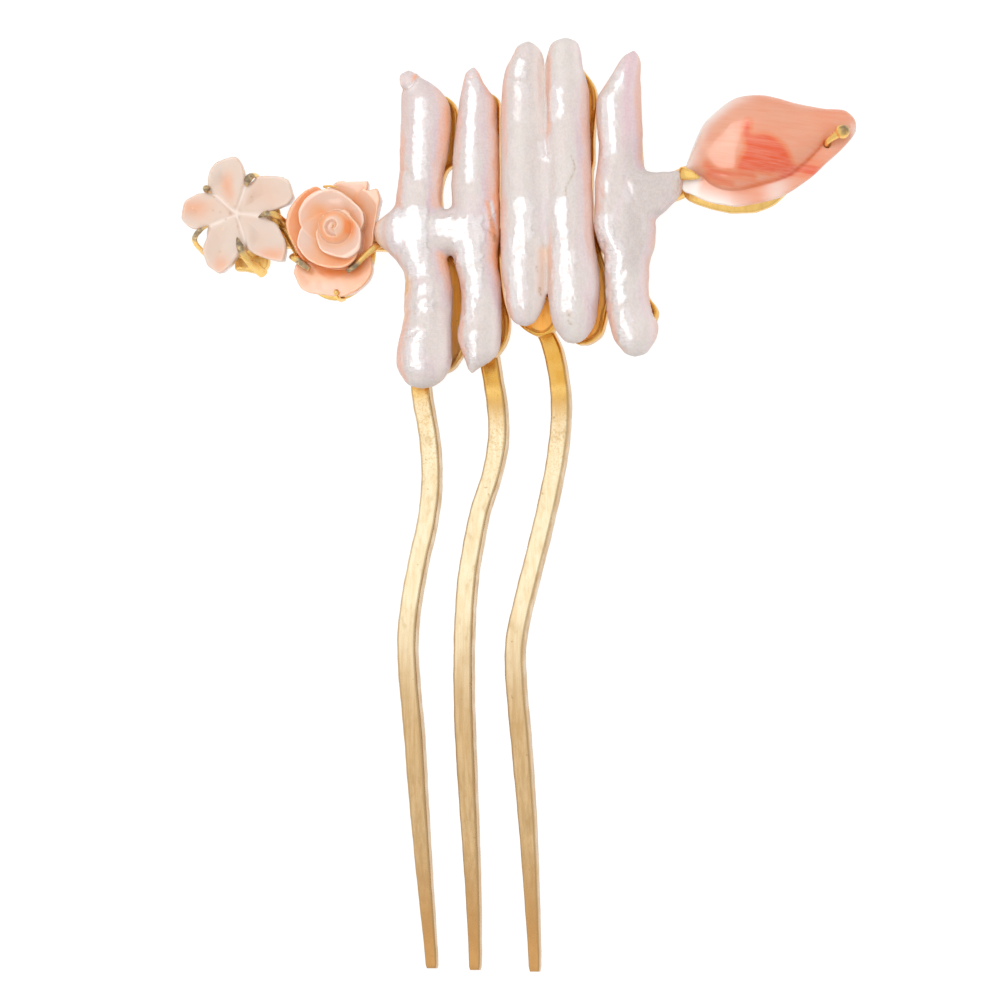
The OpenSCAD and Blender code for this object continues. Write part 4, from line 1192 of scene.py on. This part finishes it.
def solder(parts, name):
    """One mesh from closed parts that run into each other."""
    base, rest = parts[0], parts[1:]
    for other in rest:
        cut = base.modifiers.new("solder", "BOOLEAN")
        cut.operation = "UNION"
        cut.solver = "MANIFOLD"
        cut.object = other
        bpy.context.view_layer.update()
        depsgraph = bpy.context.evaluated_depsgraph_get()
        mesh = bpy.data.meshes.new_from_object(base.evaluated_get(depsgraph))
        base.modifiers.clear()
        base.data = mesh
    for other in rest:
        bpy.data.objects.remove(other)
    mesh = base.data
    bpy.data.objects.remove(base)
    mesh.name = name
    return mesh


def prong_edge_tarnish_and_shade(x, y):
    """1 along both edges of the prongs and 0 on the middle of them."""
    away = []
    for rows in PRONGS.values():
        route = smooth_rows(rows)[::-1]
        away.append(np.abs(x + PRONG_SHIFT - np.interp(y, route[:, 0], route[:, 1])))
    share = np.min(away, axis=0) / (prong_width(y) / 2)
    return ease(share, 0.74, 0.92)


def mount(material):
    """The soldered metal, with where each of its colours shows stored."""
    mesh = solder(metal_parts(), "mount_gilt")
    mesh.materials.clear()
    mesh.polygons.foreach_set("use_smooth", np.ones(len(mesh.polygons), bool))
    mesh.set_sharp_from_angle(angle=math.radians(38))
    points = np.empty(len(mesh.vertices) * 3)
    mesh.vertices.foreach_get("co", points)
    points = points.reshape(-1, 3) / MM - CENTRED
    worn = 0
    for *place, radius in WORN:
        worn = np.maximum(worn, 1 - ease(np.linalg.norm(points - place, axis=1), radius * 0.6, radius))
    x, y, z = points.T
    inward = np.max([outline_distance(side_outline(rows), x, y) for rows in TRAYS.values()], axis=0)
    inward = inward * ((z > TRAY_FLOOR - 0.2) & (z < TRAY_RIM + 0.03))
    set_values(mesh, {
        "worn": worn,
        # Painted shade: the head's shadow on the tops of the middle and right prongs.
        "deep": ease(y, 7, 12) * ease(x, -9, -8),
        "upper": ease(y, -2, 8) * (1 - ease(y, 13, 15)),
        # Warmer gold over the head: partly the gilt's own colour, partly painted reflection of light
        # bounced between the pearls and trays.
        "head_gold_and_painted_bounce": ease(y, 10.5, 12.5) * (1 - 0.5 * worn),
        "rich": ease(y, 12, 13) * ease(x, -14.5, -13.5) * (1 - ease(x, 15.5, 16.5)),
        # Painted shade: darker down the prongs, darkest at their tips.
        "prong_shade": ease(-y, 8, 24),
        "tip": ease(-y, 33, 46),
        "tray": ease(inward, 0.3, 0.46),
        "groove": fade(inward - 0.5, 0.05),
        # Darker speckled prong edges: partly tarnish, partly painted shade on their sides.
        "margin": prong_edge_tarnish_and_shade(x, y) * (1 - ease(y, 12, 19)),
    })
    return piece(mesh, material, "mount")


# Materials


class Nodes:
    """A short way to build a material's nodes."""

    def __init__(self, name):
        self.material = bpy.data.materials.new(name)
        self.material.use_nodes = True
        self.tree = self.material.node_tree
        self.shader = self.tree.nodes["Principled BSDF"]

    def add(self, kind, inputs=None, **settings):
        """A node of a kind, with its inputs and settings."""
        node = self.tree.nodes.new(kind)
        for key, value in settings.items():
            setattr(node, key, value)
        for key, value in (inputs or {}).items():
            self.feed(node.inputs[key], value)
        return node

    def feed(self, socket, value):
        """Sets a socket to a value, or links another node's output to it."""
        if isinstance(value, bpy.types.NodeSocket):
            self.tree.links.new(value, socket)
        elif socket.type == "RGBA":
            socket.default_value = (*value, 1.0)
        else:
            socket.default_value = value

    def shade(self, values):
        """Feeds the shader's sockets and gives the finished material."""
        for name, value in values.items():
            self.feed(self.shader.inputs[name], value)
        return self.material

    def value(self, name):
        """What is stored on the mesh under a name."""
        return self.add("ShaderNodeAttribute", attribute_name=name).outputs["Fac"]

    def noise(self, scale, detail=3.0, rough=0.5, turn=0.0):
        """Noise with scale's cells to the metre, turned by some degrees about z."""
        where = self.add("ShaderNodeTexCoord").outputs["Object"]
        if turn:
            rotation = (0, 0, -math.radians(turn))
            where = self.add("ShaderNodeMapping", {"Vector": where, "Rotation": rotation}).outputs["Vector"]
        where = self.add("ShaderNodeMapping", {"Vector": where, "Scale": scale}).outputs["Vector"]
        inputs = {"Vector": where, "Scale": 1.0, "Detail": detail, "Roughness": rough}
        return self.add("ShaderNodeTexNoise", inputs).outputs["Fac"]

    def range(self, source, low, high, out_low=0.0, out_high=1.0):
        """out_low where the source is below low, out_high where it is above high, smooth between."""
        inputs = {"Value": source, "From Min": low, "From Max": high, "To Min": out_low, "To Max": out_high}
        return self.add("ShaderNodeMapRange", inputs, interpolation_type="SMOOTHSTEP").outputs["Result"]

    def times(self, a, b):
        """The product of two numbers or sockets."""
        return self.add("ShaderNodeMath", {0: a, 1: b}, operation="MULTIPLY").outputs[0]

    def plus(self, a, b):
        """The sum of two numbers or sockets."""
        return self.add("ShaderNodeMath", {0: a, 1: b}, operation="ADD").outputs[0]

    def mix(self, share, a, b):
        """A colour between a and b, each a colour or a socket."""
        return self.add("ShaderNodeMix", {0: share, 6: a, 7: b}, data_type="RGBA").outputs[2]

    def over(self, body, colour, share, strength=1.0):
        """The body with a colour laid over it where share is high."""
        return self.mix(share if strength == 1.0 else self.times(share, strength), body, colour)

    def bump(self, height, distance, strength=1.0, under=None):
        """A normal with a height laid over it, and over another normal."""
        inputs = {"Height": height, "Distance": distance, "Strength": strength}
        if under is not None:
            inputs["Normal"] = under
        return self.add("ShaderNodeBump", inputs).outputs["Normal"]


def pearl_colour(n, gilt_glow_and_crease_warmth, side, lustre):
    """Mottled and pale on top, pink in places, with a painted lilac sheen and painted gilt reflections in
    salmon and orange down the sides, painted light where they face right, painted shade on the cross's flat
    facet, and warm in the creases.
    """
    body = n.mix(n.range(n.noise((260, 150, 260)), 0.4, 0.65), NACRE["body"], NACRE["light"])
    body = n.over(body, NACRE["lilac"], n.range(n.noise((420, 240, 420), 2.0), 0.5, 0.7), 0.35)
    body = n.over(body, NACRE["mottle"], n.range(n.noise((1100, 800, 1100), 4.0, 0.7), 0.35, 0.65), 0.35)
    body = n.over(body, NACRE["pink"], n.value("pink"))
    # Painted shade on the cross's flat facet.
    body = n.over(body, NACRE["grey"], n.value("grey"), 0.8)
    # Painted light: the sides that face right are laid paler.
    body = n.over(body, NACRE["facing"], n.range(n.value("facing"), 0.35, 0.9, 0.0, 0.5))
    patchy = n.range(n.noise((300, 110, 300), 2.0), 0.38, 0.6)
    # Painted lilac sheen in a band part way down the sides.
    band = n.times(n.range(side, 0.3, 0.5), n.range(side, 0.6, 0.78, 1.0, 0.0))
    body = n.over(body, NACRE["band"], n.times(n.plus(n.times(patchy, 0.5), 0.25), band))
    warmer = n.plus(n.times(patchy, 0.4), 0.6)
    # Painted reflections of the gilt: salmon, then orange towards the right edges.
    body = n.over(body, NACRE["salmon"], n.times(n.range(side, 0.5, 0.72), warmer))
    body = n.over(body, NACRE["orange"], n.times(n.range(side, 0.72, 0.95), warmer))
    # Painted reflection of the gilt, warm on the left edges.
    left = n.times(n.range(side, -0.4, -0.8, 0.0, 0.85), n.plus(patchy, 0.35))
    body = n.over(body, NACRE["left"], left)
    # Painted reflection of the gilt, warm on the low sides, with the warm colour of the creases.
    body = n.over(body, NACRE["warm"], n.range(gilt_glow_and_crease_warmth, 0.15, 0.75), 0.55)
    body = n.over(body, NACRE["deep"], n.range(gilt_glow_and_crease_warmth, 0.6, 1.0), 0.8)
    # Painted highlight: the lustrous places are laid paler under their shine.
    body = n.over(body, NACRE["lustre"], lustre, 0.45)
    spotty = n.range(n.noise((5200, 3600, 5200), 2.0), 0.35, 0.65, 0.0, 0.12)
    body = n.over(body, NACRE["spotty"], spotty)
    speckled = n.range(n.noise((3200, 2600, 3200)), 0.4, 0.6, 0.25, 1.0)
    return n.over(body, NACRE["mark"], n.times(n.value("mark"), speckled))


def pearl_material():
    """Nacre, with ripples and streaks in its surface and a coat where it is lustrous."""
    n = Nodes("nacre")
    lustre = n.value("lustre")
    crossing = n.noise((750, 2800, 750), 2.5, 0.6)
    ripple = n.times(crossing, n.value("ripple"))
    streak = n.times(n.noise((1700, 480, 1700), 3.0, 0.6), n.value("streak"))
    grain = n.times(n.plus(ripple, streak), n.plus(n.times(lustre, 0.7), 0.3))
    normal = n.bump(grain, 0.00025)
    broken = n.times(lustre, n.range(crossing, 0.3, 0.55, 0.5, 1.0))
    return n.shade({
        "Base Color": pearl_colour(n, n.value("gilt_glow_and_crease_warmth"), n.value("side"), lustre),
        "Normal": n.bump(n.noise((2600, 2300, 2600), 4.0, 0.65), 0.00003, 0.6, normal),
        "Roughness": n.range(broken, 0.0, 0.8, 0.48, 0.24),
        "Coat Weight": n.range(broken, 0.05, 0.8, 0.03, 1.0),
        "Coat Roughness": 0.1,
        "Coat IOR": 1.9,
        "IOR": 1.5,
        "Specular IOR Level": 0.28,
        "Subsurface Weight": 0.35,
        "Subsurface Radius": (1.0, 0.7, 0.55),
        "Subsurface Scale": 0.0009,
    })


def coral(n, body, grain, height, strength, rough, coat=0.35, coat_rough=0.12):
    """Polished coral of a colour, with a fine grain in its surface."""
    return n.shade({
        "Base Color": body,
        "Normal": n.bump(grain, height, strength),
        "Roughness": rough,
        "IOR": 1.5,
        "Subsurface Weight": 0.5,
        "Subsurface Radius": (1.0, 0.6, 0.4),
        "Subsurface Scale": 0.0009,
        "Coat Weight": coat,
        "Coat Roughness": coat_rough,
    })


def flower_material():
    """Pale coral with salmon patches, painted light on its edges and in its valleys, and brown flecks."""
    n = Nodes("pale_coral")
    body = n.mix(n.range(n.noise((300, 300, 200)), 0.35, 0.7), PALE["body"], PALE["light"])
    body = n.over(body, PALE["salmon"], n.value("tone"))
    # Painted light on the low edges and in the valleys.
    body = n.over(body, PALE["edge"], n.value("edge"), 0.6)
    body = n.over(body, PALE["fleck"], n.value("fleck"))
    body = n.over(body, PALE["speck"], n.range(n.noise((2400, 2400, 2400), 1.0), 0.74, 0.78), 0.5)
    return coral(n, body, n.noise((1400, 1400, 1400)), 0.00003, 0.5, 0.3)


def rose_material():
    """Salmon coral, pale or deep as each place is, the deep partly painted shade, with faint clouds."""
    n = Nodes("salmon_coral")
    tone = n.value("tone")
    body = n.mix(n.range(tone, 0.0, 0.6), SALMON["pale"], SALMON["body"])
    body = n.over(body, SALMON["deep"], n.range(tone, 0.5, 1.0))
    body = n.over(body, SALMON["cloud"], n.range(n.noise((350, 350, 300)), 0.4, 0.7), 0.3)
    return coral(n, body, n.noise((1400, 1400, 1400)), 0.00002, 0.5, 0.26)


def leaf_material():
    """Red and salmon coral with a fine grain along it, and white at its edges."""
    n = Nodes("leaf_coral")
    tone = n.value("tone")
    body = n.mix(n.range(tone, 0.1, 0.55), LEAF["pale"], LEAF["body"])
    body = n.over(body, LEAF["deep"], n.range(tone, 0.5, 1.0))
    grain = n.range(n.noise((140, 2600, 900), 3.0, 0.6, GRAIN_TURN), 0.35, 0.65)
    fine = n.range(n.noise((260, 5200, 900), 2.0, 0.6, GRAIN_TURN), 0.4, 0.6)
    body = n.over(body, LEAF["line"], n.plus(n.times(grain, 0.2), n.times(fine, 0.12)))
    body = n.over(body, LEAF["white"], n.value("white"))
    surface = n.noise((140, 2400, 900), 3.0, 0.6, GRAIN_TURN)
    return coral(n, body, surface, 0.00001, 0.3, 0.2, 0.4, 0.08)


def gilt_material():
    """Satin gilt with fine lines: deeper in the trays, worn on the claws, warmer over the head partly as
    painted reflection, and with painted shade down the prongs, on their tops under the head and along their
    edges.
    """
    n = Nodes("satin_gilt")
    fibres = n.noise((2600, 130, 2600), 4.0, 0.65)
    grime = n.noise((900, 500, 900), 4.0, 0.6)
    lined = n.range(fibres, 0.35, 0.65)
    body = n.mix(lined, GILT["body"], GILT["light"])
    # Painted shade down the prongs, darkest at the tips.
    body = n.over(body, n.mix(lined, GILT["prong_shade"], GILT["prong_shade_light"]), n.value("prong_shade"))
    body = n.over(body, GILT["tip"], n.value("tip"))
    # Painted shade from the head, on the tops of the middle and right prongs.
    body = n.over(body, GILT["deep"], n.value("deep"))
    # Warmer gold over the head, partly painted reflection of bounced light.
    body = n.over(body, GILT["head_gold_and_painted_bounce"], n.times(n.value("head_gold_and_painted_bounce"), n.range(fibres, 0.3, 0.6, 0.8, 1.0)))
    body = n.over(body, GILT["rich"], n.times(n.value("rich"), n.range(grime, 0.35, 0.6, 1.0, 0.6)))
    tray_share = n.value("tray")
    tray_gold = n.mix(n.range(fibres, 0.4, 0.6), GILT["tray"], GILT["tray_light"])
    body = n.over(body, tray_gold, tray_share)
    # Darker speckled prong edges, partly tarnish and partly painted shade.
    body = n.over(body, GILT["margin"], n.times(n.value("margin"), n.range(grime, 0.3, 0.6, 0.7, 1.0)))
    pits = n.times(n.value("upper"), n.range(n.noise((4800, 4200, 4800), 2.0), 0.5, 0.62))
    body = n.over(body, GILT["pit"], pits, 0.45)
    body = n.over(body, GILT["groove"], n.times(n.value("groove"), n.range(grime, 0.35, 0.6, 0.3, 0.9)))
    body = n.over(body, GILT["grime"], n.range(grime, 0.55, 0.75), 0.35)
    body = n.over(body, GILT["spot"], n.range(n.noise((1500, 1500, 1500), 2.0), 0.7, 0.76), 0.5)
    worn = n.times(n.value("worn"), n.range(n.noise((2200, 2200, 2200), 2.0), 0.15, 0.65))
    body = n.over(body, GILT["worn"], worn)
    return n.shade({
        "Base Color": body,
        "Roughness": n.plus(n.range(grime, 0.3, 0.7, 0.18, 0.4), n.times(tray_share, 0.15)),
        "Metallic": n.range(tray_share, 0.0, 1.0, 1.0, 0.45),
        "Normal": n.bump(grime, 0.00004, 0.5, n.bump(fibres, 0.00003, 0.5)),
    })


# Stage, light and camera


def floor():
    """A white floor that is bright of itself and takes only a faint shadow."""
    half = 0.6
    mesh = bpy.data.meshes.new("floor")
    corners = [(-half, -half, 0), (half, -half, 0), (half, half, 0), (-half, half, 0)]
    mesh.from_pydata(corners, [], [(0, 1, 2, 3)])
    grey = (0.12, 0.12, 0.12)
    mesh.materials.append(Nodes("pale_floor").shade({
        "Base Color": grey,
        "Roughness": 0.9,
        "Specular IOR Level": 0.1,
        "Emission Color": (1, 1, 1),
        "Emission Strength": 0.94,
    }))
    show("floor", mesh)


def aim(obj, side, up, back, place):
    """Puts a light or camera at a place, looking away from back."""
    columns = Matrix((side, up, back)).transposed().to_4x4()
    obj.matrix_world = Matrix.Translation(place) @ columns


def collection_of(name, members):
    """A collection of objects, for a light's links."""
    group = bpy.data.collections.new(name)
    for member in members:
        group.objects.link(member)
    return group


def softbox(name, lean, rise, distance, size, radiance, receivers=None, blockers=None):
    """A flat light aimed at the head, leaning left of straight up and rising towards its far side.

    One with receivers lights only their gloss. One without lights only what is dull. One with blockers
    lights what is dull on its receivers, and only the blockers shade it.
    """
    data = bpy.data.lights.new(name, "AREA")
    data.shape = "RECTANGLE"
    data.size, data.size_y = size
    data.energy = radiance * math.pi * size[0] * size[1]
    obj = show(name, data)
    lean, rise = math.radians(lean), math.radians(rise)
    back = Vector((-math.sin(lean) * math.cos(rise), math.sin(rise), math.cos(lean) * math.cos(rise)))
    side = Vector((0, 1, 0)).cross(back).normalized()
    aim(obj, side, back.cross(side), back, HEAD + back * distance)
    obj.visible_diffuse = receivers is None or blockers is not None
    obj.visible_glossy = receivers is not None and blockers is None
    obj.visible_camera = False
    if receivers:
        obj.light_linking.receiver_collection = collection_of(name + "_receivers", receivers)
    if blockers:
        obj.light_linking.blocker_collection = collection_of(name + "_blockers", blockers)


def world():
    """Soft white room, brighter to the left than to the right."""
    room = bpy.data.worlds.new("room")
    room.use_nodes = True
    bpy.context.scene.world = room
    tree = room.node_tree
    background = tree.nodes["Background"]
    where = tree.nodes.new("ShaderNodeTexCoord")
    split = tree.nodes.new("ShaderNodeSeparateXYZ")
    ramp = tree.nodes.new("ShaderNodeMapRange")
    for name, value in {"From Min": -0.8, "From Max": 0.9, "To Min": 0.85, "To Max": 0.76}.items():
        ramp.inputs[name].default_value = value
    tree.links.new(where.outputs["Generated"], split.inputs[0])
    tree.links.new(split.outputs["X"], ramp.inputs["Value"])
    tree.links.new(ramp.outputs["Result"], background.inputs["Strength"])
    background.inputs["Color"].default_value = (0.98, 0.985, 1.0, 1)


def camera():
    """The view from the front: 12 degrees from the right and 6 from below, 0.6 m away."""
    turn, dip, distance = math.radians(12), math.radians(6), 0.6
    seen_width = 0.105
    back = Vector((math.sin(turn) * math.cos(dip), -math.sin(dip), math.cos(turn) * math.cos(dip)))
    right = Vector((math.cos(turn), 0, -math.sin(turn)))
    data = bpy.data.cameras.new("camera")
    data.sensor_width = 36.0
    data.lens = data.sensor_width * distance / seen_width
    data.clip_start, data.clip_end = 0.01, 10
    obj = show("camera", data)
    aim(obj, right, back.cross(right), back, LOOK_AT + back * distance)
    bpy.context.scene.camera = obj


camera()
world()
floor()
bpy.context.scene.view_settings.view_transform = "Standard"

nacre = pearl_material()
stones = [
    pearl("pearl_pair", PEARL_Z, pair_field, pair_relief, pair_grain, pair_tint,
          (PAIR_CREASES, PAIR_LUSTRE, PAIR_MARKS), nacre),
    pearl("pearl_twin", TWIN_Z, twin_field, twin_relief, twin_grain, twin_tint,
          (TWIN_CREASES, TWIN_LUSTRE, TWIN_MARKS), nacre),
    pearl("pearl_cross", PEARL_Z, cross_field, cross_relief, cross_grain, cross_tint,
          (CROSS_CREASES, CROSS_LUSTRE, CROSS_MARKS), nacre),
    flower(flower_material()),
    rose(rose_material()),
    leaf(leaf_material()),
]
gilt = mount(gilt_material())

softbox("key_stones", 23, 5, 0.8, (0.54, 1.8), 3.2, stones)
softbox("key_metal", 16, 12, 0.8, (1.0, 1.2), 0.3, [gilt])
softbox("fill", -4, 6, 0.9, (0.7, 0.7), 3.3)
softbox("glow", -32, 0, 0.9, (0.7, 0.7), 3.4, [gilt], [gilt])
